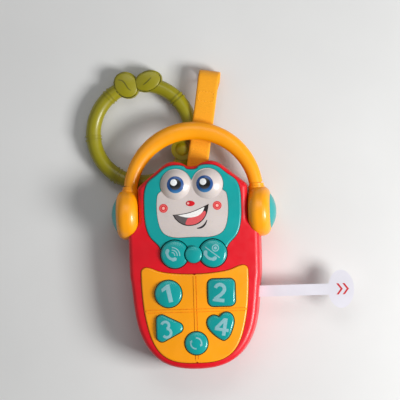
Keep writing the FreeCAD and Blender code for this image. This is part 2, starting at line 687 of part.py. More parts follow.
# ---- works inside the case ----------------------------------------------------------------------
def circuit_board():
    keypad = rounded_rectangle(0, -23.5, 31.0, 35.0, 8.0)
    tongue = rounded_rectangle(0, 30.0, 15.0, 22.0, 3.0)
    board = joined([prism(face, BOARD_Z, BOARD_Z + BOARD_THICKNESS) for face in (keypad, tongue)])
    for x, y in BOARD_POSTS + [PANEL_POST]:
        board = board.cut(rod(x, y, 0, 40, PILOT_RADIUS + 0.15))
    for x, y in LOWER_SCREWS:
        board = board.cut(rod(x, y, 0, 40, BOSS_TUBE_RADIUS + 0.6))
    return board


def key_places():
    places = [outline.CenterOfMass for outline in KEY_OUTLINES.values()]
    return [(place.x, place.y) for place in places] + [(x, BUTTON_Y) for x in BUTTONS.values()]


def key_mat():
    low = BOARD_Z + BOARD_THICKNESS
    high = low + MAT_THICKNESS
    sheet = rounded_rectangle(0, -23.0, 25.4, 33.5, 5.0)
    pads = [circle(x, BUTTON_Y, 6.0) for x in BUTTONS.values()]
    domes = [Part.makeCone(4.2, 2.6, DOME_HEIGHT, Vector(x, y, high)) for x, y in key_places()]
    mat = joined([prism(face, low, high) for face in [sheet] + pads] + domes)
    return mat.cut(rod(PANEL_POST[0], PANEL_POST[1], 0, 40, 3.2))


def board_screws():
    return Part.Compound([pan_screw(x, y, BOARD_Z, 6.0) for x, y in BOARD_POSTS + [PANEL_POST]])


def face_leds():
    leds = []
    low = BOARD_Z + BOARD_THICKNESS
    for side in (-1, 1):
        lens = rod(side * 9, 42, low, low + 3.0, 1.5)
        flange = rod(side * 9, 42, low, low + 0.8, 1.9)
        dome = Part.makeSphere(1.5, Vector(side * 9, 42, low + 3.0))
        leds.append(joined([lens, flange, dome]))
    return Part.Compound(leds)


def sound_chip():
    ball = Part.makeSphere(12.0, Vector(0, 14, BOARD_Z + 9.8))
    return ball.common(box((-10, 4, 15), (10, 24, BOARD_Z)))


def board_components():
    """Two capacitors and three resistors on the back of the board."""
    parts = [rod(side * 22, -6, 15.6, BOARD_Z, 2.5) for side in (-1, 1)]
    for i in range(3):
        y = -30 - 7 * i
        body = rod_y(21, BOARD_Z - 1.4, y - 2.2, y + 2.2, 0.9)
        legs = [rod(21, y + end * 2.6, BOARD_Z - 1.4, BOARD_Z, 0.25) for end in (-1, 1)]
        lead = rod_y(21, BOARD_Z - 1.4, y - 2.8, y + 2.8, 0.25)
        parts.append(joined([body, lead] + legs))
    return Part.Compound(parts)


def speaker():
    frame = rod(0, SPEAKER_Y, WALL, WALL + 1.2, SPEAKER_RADIUS)
    basket = Part.makeCone(SPEAKER_RADIUS - 1.5, 7.5, 2.6, Vector(0, SPEAKER_Y, WALL + 1.2))
    magnet = rod(0, SPEAKER_Y, WALL + 3.8, WALL + 7.0, 7.0)
    dish = Part.makeCone(SPEAKER_RADIUS - 2.0, 3.0, 2.2, Vector(0, SPEAKER_Y, WALL))
    return joined([frame, basket, magnet]).cut(dish)


def speaker_retainer():
    low = 5.0
    ring = rod(0, SPEAKER_Y, low, low + 1.2, 14.2).cut(rod(0, SPEAKER_Y, 0, 20, 10.6))
    ears = [rod(side * SPEAKER_POST_X, SPEAKER_Y, low, low + 1.2, 2.6) for side in (-1, 1)]
    bridges = [box((13.0 if side > 0 else -SPEAKER_POST_X, SPEAKER_Y - 2.6, low),
                   (SPEAKER_POST_X if side > 0 else -13.0, SPEAKER_Y + 2.6, low + 1.2)) for side in (-1, 1)]
    retainer = joined([ring] + ears + bridges)
    for side in (-1, 1):
        retainer = retainer.cut(rod(side * SPEAKER_POST_X, SPEAKER_Y, 0, 20, 1.1))
    return retainer


def speaker_screws():
    screws = []
    for side in (-1, 1):
        x = side * SPEAKER_POST_X
        head = rod(x, SPEAKER_Y, 6.2, 7.4, 2.0)
        shank = rod(x, SPEAKER_Y, 2.7, 6.2, 0.85)
        slot = box((x - 1.5, SPEAKER_Y - 0.25, 6.9), (x + 1.5, SPEAKER_Y + 0.25, 8))
        screws.append(joined([head, shank]).cut(slot))
    return Part.Compound(screws)


def battery(side):
    """An AAA cell along Y.  The two cells lie head to tail."""
    low = BAY_BOTTOM + 1.1 if side > 0 else BAY_TOP - 1.1 - AAA_LENGTH
    x = side * BATTERY_X
    can = rod_y(x, BATTERY_Z, low + 0.9, low + AAA_LENGTH, AAA_RADIUS)
    nub = rod_y(x, BATTERY_Z, low, low + 0.9, 1.9)
    if side < 0:
        can = rod_y(x, BATTERY_Z, low, low + AAA_LENGTH - 0.9, AAA_RADIUS)
        nub = rod_y(x, BATTERY_Z, low + AAA_LENGTH - 0.9, low + AAA_LENGTH, 1.9)
    return joined([can, nub])


def battery_spring(side):
    """The coil that presses on a cell's flat end."""
    length = BAY_TOP - BAY_BOTTOM - AAA_LENGTH - 1.1 - 0.6
    start = BAY_TOP - 0.5 if side > 0 else BAY_BOTTOM + 0.5
    wire_radius = 0.3
    helix = Part.makeHelix((length - 2 * wire_radius) / 3.0, length - 2 * wire_radius, 3.0)
    circle_edge = Part.makeCircle(wire_radius, Vector(3.0, 0, 0), Vector(0, 1, 0))
    coil = Part.Wire(helix).makePipeShell([Part.Wire(circle_edge)], True, True)
    coil.rotate(Vector(0, 0, 0), Vector(1, 0, 0), 90 if side > 0 else -90)
    offset = -wire_radius - 0.05 if side > 0 else wire_radius + 0.05
    return coil.translated(Vector(side * BATTERY_X, start + offset, BATTERY_Z))


def contact_plates():
    plates = []
    for y in (BAY_TOP - 0.5, BAY_BOTTOM + 0.1):
        for side in (-1, 1):
            x = side * BATTERY_X
            plates.append(box((x - 4.6, y, BATTERY_Z - 4.2), (x + 4.6, y + 0.4, BATTERY_Z + 4.6)))
    return Part.Compound(plates)


def wire_run(points, radius):
    pieces = []
    for a, b in zip(points, points[1:]):
        start = Vector(*a)
        step = Vector(*b) - start
        pieces.append(Part.makeCylinder(radius, step.Length, start, step))
    pieces += [Part.makeSphere(radius, Vector(*point)) for point in points[1:-1]]
    return joined(pieces)


def speaker_leads():
    return Part.Compound([
        wire_run([(side * 3.0, SPEAKER_Y - 4.0, WALL + 7.0), (side * 3.0, SPEAKER_Y - 4.0, 12.0),
                  (side * 11.0, SPEAKER_Y - 11.0, 16.0), (side * 13.0, SPEAKER_Y - 14.0, 18.5),
                  (side * 13.0, SPEAKER_Y - 14.0, BOARD_Z)], 0.6)
        for side in (-1, 1)])


def battery_leads():
    return Part.Compound([
        wire_run([(side * (BAY_HALF + 1.6 + 0.7), BAY_TOP - 3.0, 9.0),
                  (side * (BAY_HALF + 1.6 + 0.7), BAY_TOP - 3.0, 16.0),
                  (side * (BAY_HALF + 4.0), BAY_TOP - 1.0, 18.5),
                  (side * (BAY_HALF + 4.0), BAY_TOP - 1.0, BOARD_Z)], 0.7)
        for side in (-1, 1)])


def inside_nodes():
    return {
        "circuit_board": circuit_board(),
        "key_mat": key_mat(),
        "board_screws": board_screws(),
        "face_leds": face_leds(),
        "sound_chip": sound_chip(),
        "board_components": board_components(),
        "speaker": speaker(),
        "speaker_retainer": speaker_retainer(),
        "speaker_screws": speaker_screws(),
        "speaker_leads": speaker_leads(),
        "battery_1": battery(-1),
        "battery_2": battery(1),
        "battery_springs": Part.Compound([battery_spring(side) for side in (-1, 1)]),
        "contact_plates": contact_plates(),
        "battery_leads": battery_leads(),
    }


def back_nodes():
    return {
        "back_shell": back_shell(),
        "battery_door": battery_door(),
        "door_screw": pan_screw(0, DOOR_SCREW_Y, DOOR_THICKNESS - 0.6, 8.0),
        "case_screws": case_screws(),
        "strap_pin": strap_pin(),
    }


# ---- strap and ring -----------------------------------------------------------------------------
def strap_frame(solid):
    """From the strap's own frame (x across, y along, z up, pin at y = 0) to the phone's."""
    solid.rotate(Vector(0, 0, 0), Vector(0, 0, 1), -STRAP_LEAN)
    return solid.translated(Vector(0, STRAP_PIN_Y, 0))


def side_face(edges):
    """A face in the strap's side view from edges drawn in (along, up)."""
    face = Part.Face(Part.Wire(edges))
    face.rotate(Vector(0, 0, 0), Vector(0, 0, 1), 90)
    face.rotate(Vector(0, 0, 0), Vector(0, 1, 0), 90)
    return face


def hanging_strap():
    """Webbing doubled over: one fold goes round the pin, the other is left open as a hanging loop."""
    low = STRAP_UNDERSIDE
    top = low + 2 * STRAP_PLY
    inner = STRAP_PIN_RADIUS + 0.4
    outer = inner + STRAP_PLY
    back = -1.6
    eye = (top - 0.2) / 2
    eye_y = STRAP_END - eye
    outside = [
        arc((back, STRAP_PIN_Z - outer), (back - outer, STRAP_PIN_Z), (back, STRAP_PIN_Z + outer)),
        line((back, STRAP_PIN_Z + outer), (3.0, STRAP_PIN_Z + outer)),
        line((3.0, STRAP_PIN_Z + outer), (18.0, top)),
        line((18.0, top), (eye_y, top)),
        arc((eye_y, top), (STRAP_END, top - eye), (eye_y, top - 2 * eye)),
        line((eye_y, top - 2 * eye), (80.0, 0.2)),
        line((80.0, 0.2), (74.4, low)),
        line((74.4, low), (18.0, low)),
        line((18.0, low), (3.0, STRAP_PIN_Z - outer)),
        line((3.0, STRAP_PIN_Z - outer), (back, STRAP_PIN_Z - outer)),
    ]
    near_hole = [
        arc((back, STRAP_PIN_Z - inner), (back - inner, STRAP_PIN_Z), (back, STRAP_PIN_Z + inner)),
        line((back, STRAP_PIN_Z + inner), (3.0, STRAP_PIN_Z + inner)),
        line((3.0, STRAP_PIN_Z + inner), (17.0, top - STRAP_PLY)),
        line((17.0, top - STRAP_PLY), (3.0, STRAP_PIN_Z - inner)),
        line((3.0, STRAP_PIN_Z - inner), (back, STRAP_PIN_Z - inner)),
    ]
    small = eye - STRAP_PLY
    far_hole = [
        line((75.2, top - STRAP_PLY), (eye_y, top - STRAP_PLY)),
        arc((eye_y, top - STRAP_PLY), (eye_y + small, top - eye), (eye_y, top - eye - small)),
        line((eye_y, top - eye - small), (80.7, top - eye - small)),
        line((80.7, top - eye - small), (75.2, top - STRAP_PLY)),
    ]
    half = Vector(STRAP_WIDTH / 2, 0, 0)
    webbing, near, far = [side_face(edges).translated(-half).extrude(half * 2)
                          for edges in (outside, near_hole, far_hole)]
    return strap_frame(webbing.cut(near).cut(far))


def torus_part(radius, start, end):
    """The stretch of the ring's tube between two angles, seen from the front."""
    front = (RING_RADIUS, radius)
    back = (RING_RADIUS, -radius)
    edges = [arc(front, (RING_RADIUS + radius, 0), back), arc(back, (RING_RADIUS - radius, 0), front)]
    section = Part.Face(Part.Wire(edges))
    section.rotate(Vector(0, 0, 0), Vector(1, 0, 0), 90)
    part = section.revolve(Vector(0, 0, 0), Vector(0, 0, 1), end - start)
    part.rotate(Vector(0, 0, 0), Vector(0, 0, 1), start)
    return part.translated(Vector(RING_X, RING_Y, RING_Z))


def ridge_pair(angle):
    return [torus_part(RIDGE_RADIUS, angle + offset - 0.9, angle + offset + 0.9) for offset in (-2.2, 2.2)]


def beyond_meeting_line(side):
    """The space near the clasp that belongs to its other half, and half of the gap between them."""
    if side > 0:
        slab = box((-45, -16, -5), (LEAF_GAP / 2, 20, 20))
    else:
        slab = box((-LEAF_GAP / 2, -16, -5), (45, 20, 20))
    slab.rotate(Vector(0, 0, 0), Vector(0, 0, 1), 8)
    return slab.translated(Vector(LEAF_LINE_X, 131.0, 0))


def leaf_outline(leaf, extra=0.0):
    x, y, half_x, half_y, turn = leaf
    ellipse = Part.Ellipse(Vector(0, 0, 0), half_x + extra, half_y + extra).toShape()
    face = Part.Face(Part.Wire(ellipse))
    face.rotate(Vector(0, 0, 0), Vector(0, 0, 1), turn)
    return face.translated(Vector(x, y, 0))


def leaf_base(leaf):
    base = prism(leaf_outline(leaf, 1.0), 0.0, LEAF_SPLIT_Z)
    lowest = sorted(base.Faces, key=lambda face: face.CenterOfMass.z)[0]
    return base.makeFillet(2.0, lowest.OuterWire.Edges)


def leaf_space(leaf):
    return prism(leaf_outline(leaf), LEAF_SPLIT_Z, LEAF_TOP)


def clasp_leaf(leaf, side):
    cap = domed(leaf_outline(leaf), LEAF_SPLIT_Z, LEAF_TOP, 0.8, 1.6)
    return cap.cut(beyond_meeting_line(side))


def knuckle(low, high):
    return rod(BOSS_X, BOSS_Y, low, high, BOSS_RADIUS)


def clasp_tongue(gap):
    """The snap tongue on the gate, or with a gap the slot for it."""
    width, height, length = TONGUE
    tongue = box((-length - gap, -width / 2 - gap, RING_Z - height / 2 - gap),
                 (4.0, width / 2 + gap, RING_Z + height / 2 + gap))
    tongue.rotate(Vector(0, 0, 0), Vector(0, 0, 1), TONGUE_TURN)
    return tongue.translated(Vector(LEAF_LINE_X - 0.2, 129.0, 0))


def ring_half(start, end, ridge_angles, leaf, side, boss, above_boss):
    """One half of the ring: tube, boss and the base of its clasp leaf, without its neighbours' room."""
    half = joined([torus_part(TUBE_RADIUS, start, end), boss])
    for room in (above_boss, leaf_space(leaf), beyond_meeting_line(side)):
        half = half.cut(room)
    pieces = [half, leaf_base(leaf).cut(beyond_meeting_line(side))]
    for angle in ridge_angles:
        pieces += ridge_pair(angle)
    return joined(pieces)


def ring_body():
    boss = knuckle(0.4, KNUCKLE_SPLIT + 2)
    gate_room = rod(BOSS_X, BOSS_Y, KNUCKLE_SPLIT, 30, BOSS_RADIUS + MOVE_GAP)
    body = ring_half(CLASP_ANGLE - 2, 360 - 31, (129, 184, 237), LEFT_LEAF, -1, boss, gate_room)
    return body.cut(clasp_tongue(MOVE_GAP)).cut(rod(BOSS_X, BOSS_Y, 0, 20, RIVET_RADIUS))


def ring_gate():
    low = KNUCKLE_SPLIT + KNUCKLE_GAP
    boss = knuckle(low - 1, KNUCKLE_TOP)
    body_room = rod(BOSS_X, BOSS_Y, -5, low, BOSS_RADIUS + MOVE_GAP)
    gate = ring_half(-12, CLASP_ANGLE + 2, (42,), RIGHT_LEAF, 1, boss, body_room)
    return joined([gate, clasp_tongue(0)]).cut(rod(BOSS_X, BOSS_Y, -5, 20, RIVET_RADIUS + PIVOT_CLEARANCE))


def ring_rivet():
    shaft = rod(BOSS_X, BOSS_Y, 0.4, KNUCKLE_TOP + 0.3, RIVET_RADIUS)
    ball = Part.makeSphere(10.0, Vector(BOSS_X, BOSS_Y, 12.1 - 10.0))
    head = ball.common(rod(BOSS_X, BOSS_Y, KNUCKLE_TOP + 0.2, 14, 5.0))
    return joined([shaft, head])


def ring_keeper(strap):
    """A narrow loop of webbing round the ring's tube, sewn to the strap behind the head."""
    half_angle = 4.5
    start = KEEPER_ANGLE - half_angle
    end = KEEPER_ANGLE + half_angle
    loop = torus_part(TUBE_RADIUS + 0.85, start, end).cut(torus_part(TUBE_RADIUS + 0.3, start - 1, end + 1))
    x = RING_X + RING_RADIUS * math.cos(math.radians(KEEPER_ANGLE))
    y = RING_Y + RING_RADIUS * math.sin(math.radians(KEEPER_ANGLE))
    tail_z = RING_Z + TUBE_RADIUS + 0.3
    tail = box((x - 1.0, y - 2.6, tail_z), (2.0, y + 2.6, tail_z + 0.5))
    keeper = joined([loop, tail]).common(box((-60, 40, 0.02), (20, 100, 40))).cut(strap)
    return sorted(keeper.Solids, key=lambda solid: solid.Volume)[-1]


def strap_nodes():
    strap = hanging_strap()
    return {
        "hanging_strap": strap,
        "ring_keeper": ring_keeper(strap),
        "ring_body": ring_body(),
        "ring_gate": ring_gate(),
        "ring_rivet": ring_rivet(),
        "clasp_leaf_left": clasp_leaf(LEFT_LEAF, -1),
        "clasp_leaf_right": clasp_leaf(RIGHT_LEAF, 1),
    }


# ---- pull tab -----------------------------------------------------------------------------------
def pull_tab():
    """A film strip that keeps two contact leaves apart until it is pulled out of the side."""
    half = TAB_WIDTH / 2
    strip = box((14.0, TAB_Y - half, TAB_Z), (TAB_HEAD_X, TAB_Y + half, TAB_Z + TAB_THICKNESS))
    oval = Part.Face(Part.Wire(Part.Ellipse(Vector(0, 0, 0), 13.7, 9.3).toShape()))
    oval.rotate(Vector(0, 0, 0), Vector(0, 0, 1), 90)
    head = prism(oval.translated(Vector(TAB_HEAD_X, TAB_Y, 0)), TAB_Z, TAB_Z + TAB_THICKNESS)
    return joined([strip, head])


def tab_contacts():
    """Two springy leaves under the board, one above and one below the tab."""
    left, right = 14.5, 19.5
    leaf = 0.3
    upper_z = TAB_Z + TAB_THICKNESS + 0.3
    lower_z = TAB_Z - 0.7
    upper = [
        box((left, TAB_Y - 6.5, upper_z), (right, TAB_Y + 2.2, upper_z + leaf)),
        box((left, TAB_Y - 6.5, upper_z), (right, TAB_Y - 5.5, BOARD_Z)),
    ]
    lower = [
        box((left, TAB_Y - 2.2, lower_z), (right, TAB_Y + 6.5, lower_z + leaf)),
        box((left, TAB_Y + 5.5, lower_z), (right, TAB_Y + 6.5, BOARD_Z)),
    ]
    return Part.Compound([joined(upper), joined(lower)])


def main():
    os.makedirs("parts", exist_ok=True)
    nodes = {}
    nodes.update(front_nodes())
    nodes.update(back_nodes())
    nodes.update(inside_nodes())
    nodes.update(headset_nodes())
    nodes.update(strap_nodes())
    nodes["pull_tab"] = pull_tab()
    nodes["tab_contacts"] = tab_contacts()
    for name, shape in nodes.items():
        save(name, shape)


main()
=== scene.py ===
"""Toy cell phone: looks, printed art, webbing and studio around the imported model. Metres, row frame."""
import json
import math

import bmesh
import bpy
from mathutils import Matrix, Vector
from mathutils.bvhtree import BVHTree
from mathutils.geometry import delaunay_2d_cdt

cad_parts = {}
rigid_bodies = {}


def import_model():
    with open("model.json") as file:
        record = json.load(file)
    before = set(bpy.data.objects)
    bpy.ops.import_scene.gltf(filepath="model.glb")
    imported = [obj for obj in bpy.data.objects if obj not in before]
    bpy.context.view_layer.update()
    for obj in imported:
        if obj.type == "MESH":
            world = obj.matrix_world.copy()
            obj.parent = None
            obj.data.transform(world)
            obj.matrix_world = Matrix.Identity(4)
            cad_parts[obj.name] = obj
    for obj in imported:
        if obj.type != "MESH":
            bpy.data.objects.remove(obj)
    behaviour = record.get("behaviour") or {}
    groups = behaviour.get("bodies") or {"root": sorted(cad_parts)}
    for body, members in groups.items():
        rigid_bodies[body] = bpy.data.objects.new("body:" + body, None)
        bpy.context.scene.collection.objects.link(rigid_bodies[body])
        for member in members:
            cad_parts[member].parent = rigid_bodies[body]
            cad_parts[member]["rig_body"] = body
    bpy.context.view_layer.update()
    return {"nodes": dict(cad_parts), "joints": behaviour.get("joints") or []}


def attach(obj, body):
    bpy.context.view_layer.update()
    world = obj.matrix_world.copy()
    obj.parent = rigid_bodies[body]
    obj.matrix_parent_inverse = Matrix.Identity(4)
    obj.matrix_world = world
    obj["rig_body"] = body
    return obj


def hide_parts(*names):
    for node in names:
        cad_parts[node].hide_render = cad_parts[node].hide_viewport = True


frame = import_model()

MM = 0.001
NODES = frame["nodes"]
JOINTS = {joint["name"]: joint for joint in frame["joints"]}

# ---- sizes, in millimetres where not said otherwise ----------------------------------------------
CAMERA_DISTANCE = 2400
CAMERA_FIELD = 288            # width of the view at the phone
CAMERA_TARGET = (4.4, 46.3, 17.0)
CAMERA_ROLL = math.radians(-1.8)
CAMERA_TILT = math.radians(4.5)     # the camera leans this far to +X of straight above
SENSOR = 36

PRINT_LIFT = 0.06             # printed art stands this proud of the surface
PRINT_STEP = 0.04             # and each layer this much above the last
PRINT_DEPTH = 0.12
PRINT_GRID = 0.55             # mesh spacing in printed art

RING_RADIUS = 35.5            # centre line of the ring's tube

PLY = 1.0                     # thickness of the webbing
WEBBING_WIDTH = 15.0
RIB_PITCH = 1.15              # cross ribs of the webbing
RIB_HEIGHT = 0.16
WEBBING_STEP = 0.23           # mesh spacing along the webbing
STRAP_LEAN = -9.0             # degrees from straight up, seen from the front
STRAP_TOP = 14.05             # height of the front layer's middle
STRAP_LOW = 12.95             # height of the back layer's middle

STITCH_PITCH = 2.4
STITCH_GAP = 0.12             # share of the pitch left bare at each end of a stitch
THREAD_RADIUS = 0.24
THREAD_SINK = 0.12            # a stitch's ends lie this far in the webbing
THREAD_BOW = 0.16             # and its middle rises this much above its ends

KEEPER_WIDTH = 5.2
KEEPER_PLY = 0.45
KEEPER_LOOP_RADIUS = 6.12
KEEPER_ANGLE = math.radians(-58.0)  # where it holds the ring, from +X

# name, place in metres, size in metres, power in watts
LIGHTS = [
    ("key", (0.72, -0.20, 0.60), (0.34, 0.34), 10.8),
    ("fill", (-0.8, 0.3, 0.9), (0.9, 0.9), 0.9),
    ("top", (0.1, 0.7, 1.0), (0.8, 0.5), 2.7),
]
LIGHTS_AIM = (0.0, 0.03, 0.02)
WORLD_COLOUR = (0.95, 0.97, 1.0, 1)
WORLD_STRENGTH = 0.17


def mm(*values):
    return Vector(value * MM for value in values)


# ---- colours -----------------------------------------------------------------------------------
def linear(red, green, blue):
    """Linear colour from 0-255 display values."""
    def channel(value):
        value /= 255
        return value / 12.92 if value <= 0.04045 else ((value + 0.055) / 1.055) ** 2.4
    return (channel(red), channel(green), channel(blue), 1.0)


def scaled(colour, factor):
    return tuple(min(1.0, c * factor) for c in colour[:3]) + (1.0,)


RED = linear(220, 0, 26)
TEAL = linear(0, 156, 154)
YELLOW = linear(255, 162, 0)
PANEL_ORANGE = linear(250, 158, 0)
OLIVE = linear(146, 138, 0)
FACE_WHITE = linear(208, 197, 192)
STRAP_ORANGE = linear(250, 166, 0)
PRINT_BLUE = linear(132, 182, 188)


# ---- node helpers -------------------------------------------------------------------------------
class Nodes:
    """Builds one material's node tree with short calls."""

    def __init__(self, name):
        self.material = bpy.data.materials.new(name)
        self.material.use_nodes = True
        self.tree = self.material.node_tree
        self.shader = self.tree.nodes["Principled BSDF"]
        self.place = self.add("ShaderNodeTexCoord").outputs["Object"]

    def add(self, kind, **settings):
        node = self.tree.nodes.new(kind)
        for key, value in settings.items():
            setattr(node, key, value)
        return node

    def link(self, source, target):
        self.tree.links.new(source, target)

    def noise(self, scale, detail=2.0, rough=0.5):
        node = self.add("ShaderNodeTexNoise")
        node.inputs["Scale"].default_value = scale
        node.inputs["Detail"].default_value = detail
        node.inputs["Roughness"].default_value = rough
        self.link(self.place, node.inputs["Vector"])
        return node.outputs["Fac"]

    def ramp(self, source, stops):
        node = self.add("ShaderNodeValToRGB")
        elements = node.color_ramp.elements
        while len(elements) < len(stops):
            elements.new(0.5)
        for element, (position, colour) in zip(elements, stops):
            element.position = position
            element.color = colour
        self.link(source, node.inputs["Fac"])
        return node.outputs["Color"]

    def grey_ramp(self, source, low, high):
        return self.ramp(source, [(0.3, (low, low, low, 1)), (0.7, (high, high, high, 1))])

    def bump(self, height, strength, distance, under=None):
        node = self.add("ShaderNodeBump")
        node.inputs["Strength"].default_value = strength
        node.inputs["Distance"].default_value = distance
        self.link(height, node.inputs["Height"])
        if under is not None:
            self.link(under, node.inputs["Normal"])
        return node.outputs["Normal"]

    def set(self, **values):
        for key, value in values.items():
            self.shader.inputs[key.replace("_", " ")].default_value = value


def plastic(name, colour, roughness=0.28, coat=0.25, peel=0.02, grain=0.0, subsurface=0.0):
    """Moulded plastic: faint flow mottling, uneven gloss, orange peel and, where asked, a fine grain."""
    n = Nodes(name)
    mottling = n.noise(38.0, 3.0)
    tint = n.ramp(mottling, [(0.35, scaled(colour, 0.94)), (0.65, scaled(colour, 1.05))])
    n.link(tint, n.shader.inputs["Base Color"])
    smears = n.noise(160.0, 4.0, 0.6)
    n.link(n.grey_ramp(smears, roughness * 0.85, roughness * 1.2), n.shader.inputs["Roughness"])
    normal = n.bump(n.noise(420.0, 2.0), peel, 0.0004)
    if grain:
        normal = n.bump(n.noise(3800.0, 3.0, 0.7), grain, 0.00012, normal)
    n.link(normal, n.shader.inputs["Normal"])
    n.set(IOR=1.5, Coat_Weight=coat, Coat_Roughness=0.12)
    if subsurface:
        n.set(Subsurface_Weight=subsurface, Subsurface_Scale=0.004)
        n.shader.inputs["Subsurface Radius"].default_value = (1.0, 0.8, 0.5)
    return n.material


def printed(name, colour, roughness=0.4):
    """Pad-printed ink: slight uneven cover and a satin surface."""
    n = Nodes(name)
    cover = n.ramp(n.noise(900.0, 3.0), [(0.3, scaled(colour, 0.9)), (0.7, scaled(colour, 1.06))])
    n.link(cover, n.shader.inputs["Base Color"])
    n.link(n.grey_ramp(n.noise(1400.0), roughness * 0.85, roughness * 1.15), n.shader.inputs["Roughness"])
    n.link(n.bump(n.noise(2600.0), 0.05, 0.0001), n.shader.inputs["Normal"])
    n.set(Coat_Weight=0.3, Coat_Roughness=0.15)
    return n.material


def faded_print(name, low_colour, high_colour, low_y, high_y):
    """Ink that changes colour from low_y to high_y, as in a printed eye."""
    n = Nodes(name)
    split = n.add("ShaderNodeSeparateXYZ")
    n.link(n.place, split.inputs["Vector"])
    span = n.add("ShaderNodeMapRange")
    span.inputs["From Min"].default_value = low_y * MM
    span.inputs["From Max"].default_value = high_y * MM
    n.link(split.outputs["Y"], span.inputs["Value"])
    tint = n.ramp(span.outputs["Result"], [(0.0, low_colour), (1.0, high_colour)])
    n.link(tint, n.shader.inputs["Base Color"])
    n.link(n.grey_ramp(n.noise(1400.0), 0.3, 0.42), n.shader.inputs["Roughness"])
    n.link(n.bump(n.noise(2600.0), 0.05, 0.0001), n.shader.inputs["Normal"])
    n.set(Coat_Weight=0.4, Coat_Roughness=0.1)
    return n.material


def metal(name, colour, roughness, scratch_axis=0):
    """Metal with fine drawn or turned scratches along one axis."""
    n = Nodes(name)
    stretch = n.add("ShaderNodeMapping")
    scale = [2400.0, 2400.0, 2400.0]
    scale[scratch_axis] = 90.0
    stretch.inputs["Scale"].default_value = scale
    n.link(n.place, stretch.inputs["Vector"])
    noise = n.add("ShaderNodeTexNoise")
    noise.inputs["Scale"].default_value = 1.0
    n.link(stretch.outputs["Vector"], noise.inputs["Vector"])
    scratches = noise.outputs["Fac"]
    shade = n.ramp(n.noise(240.0, 3.0), [(0.3, scaled(colour, 0.85)), (0.7, scaled(colour, 1.1))])
    n.link(shade, n.shader.inputs["Base Color"])
    n.link(n.grey_ramp(scratches, roughness * 0.7, roughness * 1.3), n.shader.inputs["Roughness"])
    n.link(n.bump(scratches, 0.15, 0.00005), n.shader.inputs["Normal"])
    n.set(Metallic=1.0)
    return n.material


def fabric(name, colour):
    """Ribbed polyester webbing: yarns across the ribs, yarn-to-yarn colour and a soft sheen."""
    n = Nodes(name)
    fibre = n.noise(5200.0, 3.0, 0.65)
    patches = n.noise(90.0, 3.0)
    tint = n.ramp(fibre, [(0.25, scaled(colour, 0.78)), (0.5, colour), (0.85, scaled(colour, 1.15))])
    worn = n.ramp(patches, [(0.3, (0.95, 0.95, 0.95, 1)), (0.7, (1, 1, 1, 1))])
    mix = n.add("ShaderNodeMix", data_type="RGBA", blend_type="MULTIPLY")
    mix.inputs["Factor"].default_value = 1.0
    n.link(tint, mix.inputs["A"])
    n.link(worn, mix.inputs["B"])
    n.link(mix.outputs["Result"], n.shader.inputs["Base Color"])
    n.link(n.grey_ramp(fibre, 0.6, 0.85), n.shader.inputs["Roughness"])
    n.link(n.bump(fibre, 0.5, 0.00015), n.shader.inputs["Normal"])
    n.set(Sheen_Weight=0.35, Sheen_Roughness=0.4)
    return n.material


def board_material():
    """Green solder resist with pale tracks."""
    n = Nodes("solder_resist")
    cells = n.add("ShaderNodeTexVoronoi", feature="DISTANCE_TO_EDGE")
    cells.inputs["Scale"].default_value = 260.0
    n.link(n.place, cells.inputs["Vector"])
    tracks = n.ramp(cells.outputs["Distance"], [(0.04, linear(60, 150, 70)), (0.08, linear(16, 92, 40))])
    n.link(tracks, n.shader.inputs["Base Color"])
    n.link(n.bump(cells.outputs["Distance"], 0.2, 0.00005), n.shader.inputs["Normal"])
    n.link(n.grey_ramp(n.noise(600.0), 0.28, 0.4), n.shader.inputs["Roughness"])
    n.set(Coat_Weight=0.4)
    return n.material


def clear_lens():
    n = Nodes("clear_lens")
    n.link(n.ramp(n.noise(300.0), [(0.3, (0.85, 0.9, 0.95, 1)), (0.7, (0.95, 0.97, 1, 1))]),
           n.shader.inputs["Base Color"])
    n.link(n.grey_ramp(n.noise(500.0), 0.04, 0.1), n.shader.inputs["Roughness"])
    n.set(Transmission_Weight=0.8, IOR=1.5)
    return n.material


def floor_material():
    n = Nodes("floor")
    n.link(n.ramp(n.noise(9.0, 4.0), [(0.3, (0.66, 0.66, 0.65, 1)), (0.7, (0.70, 0.70, 0.69, 1))]),
           n.shader.inputs["Base Color"])
    n.link(n.grey_ramp(n.noise(40.0), 0.75, 0.9), n.shader.inputs["Roughness"])
    return n.material


# ---- printed art --------------------------------------------------------------------------------
SURFACES = {}


def surface(node):
    if node not in SURFACES:
        mesh = NODES[node].data
        points = [vertex.co.copy() for vertex in mesh.vertices]
        SURFACES[node] = BVHTree.FromPolygons(points, [list(face.vertices) for face in mesh.polygons])
    return SURFACES[node]


def height_on(node, x, y):
    """Height of the node's front surface at (x, y), in metres."""
    hit = surface(node).ray_cast(Vector((x, y, 0.1)), Vector((0, 0, -1)))
    return hit[0].z if hit[0] else None


def inside(point, polygon):
    """Whether the point is in the polygon, by the even-odd rule."""
    x, y = point
    crossings = False
    for (x1, y1), (x2, y2) in zip(polygon, polygon[1:] + polygon[:1]):
        if (y1 > y) != (y2 > y) and x < (x2 - x1) * (y - y1) / (y2 - y1) + x1:
            crossings = not crossings
    return crossings


def resampled(polygon, spacing):
    """The closed polygon with no edge longer than spacing."""
    points = []
    for a, b in zip(polygon, polygon[1:] + polygon[:1]):
        steps = max(1, math.ceil(math.dist(a, b) / spacing))
        for i in range(steps):
            points.append((a[0] + (b[0] - a[0]) * i / steps, a[1] + (b[1] - a[1]) * i / steps))
    return points


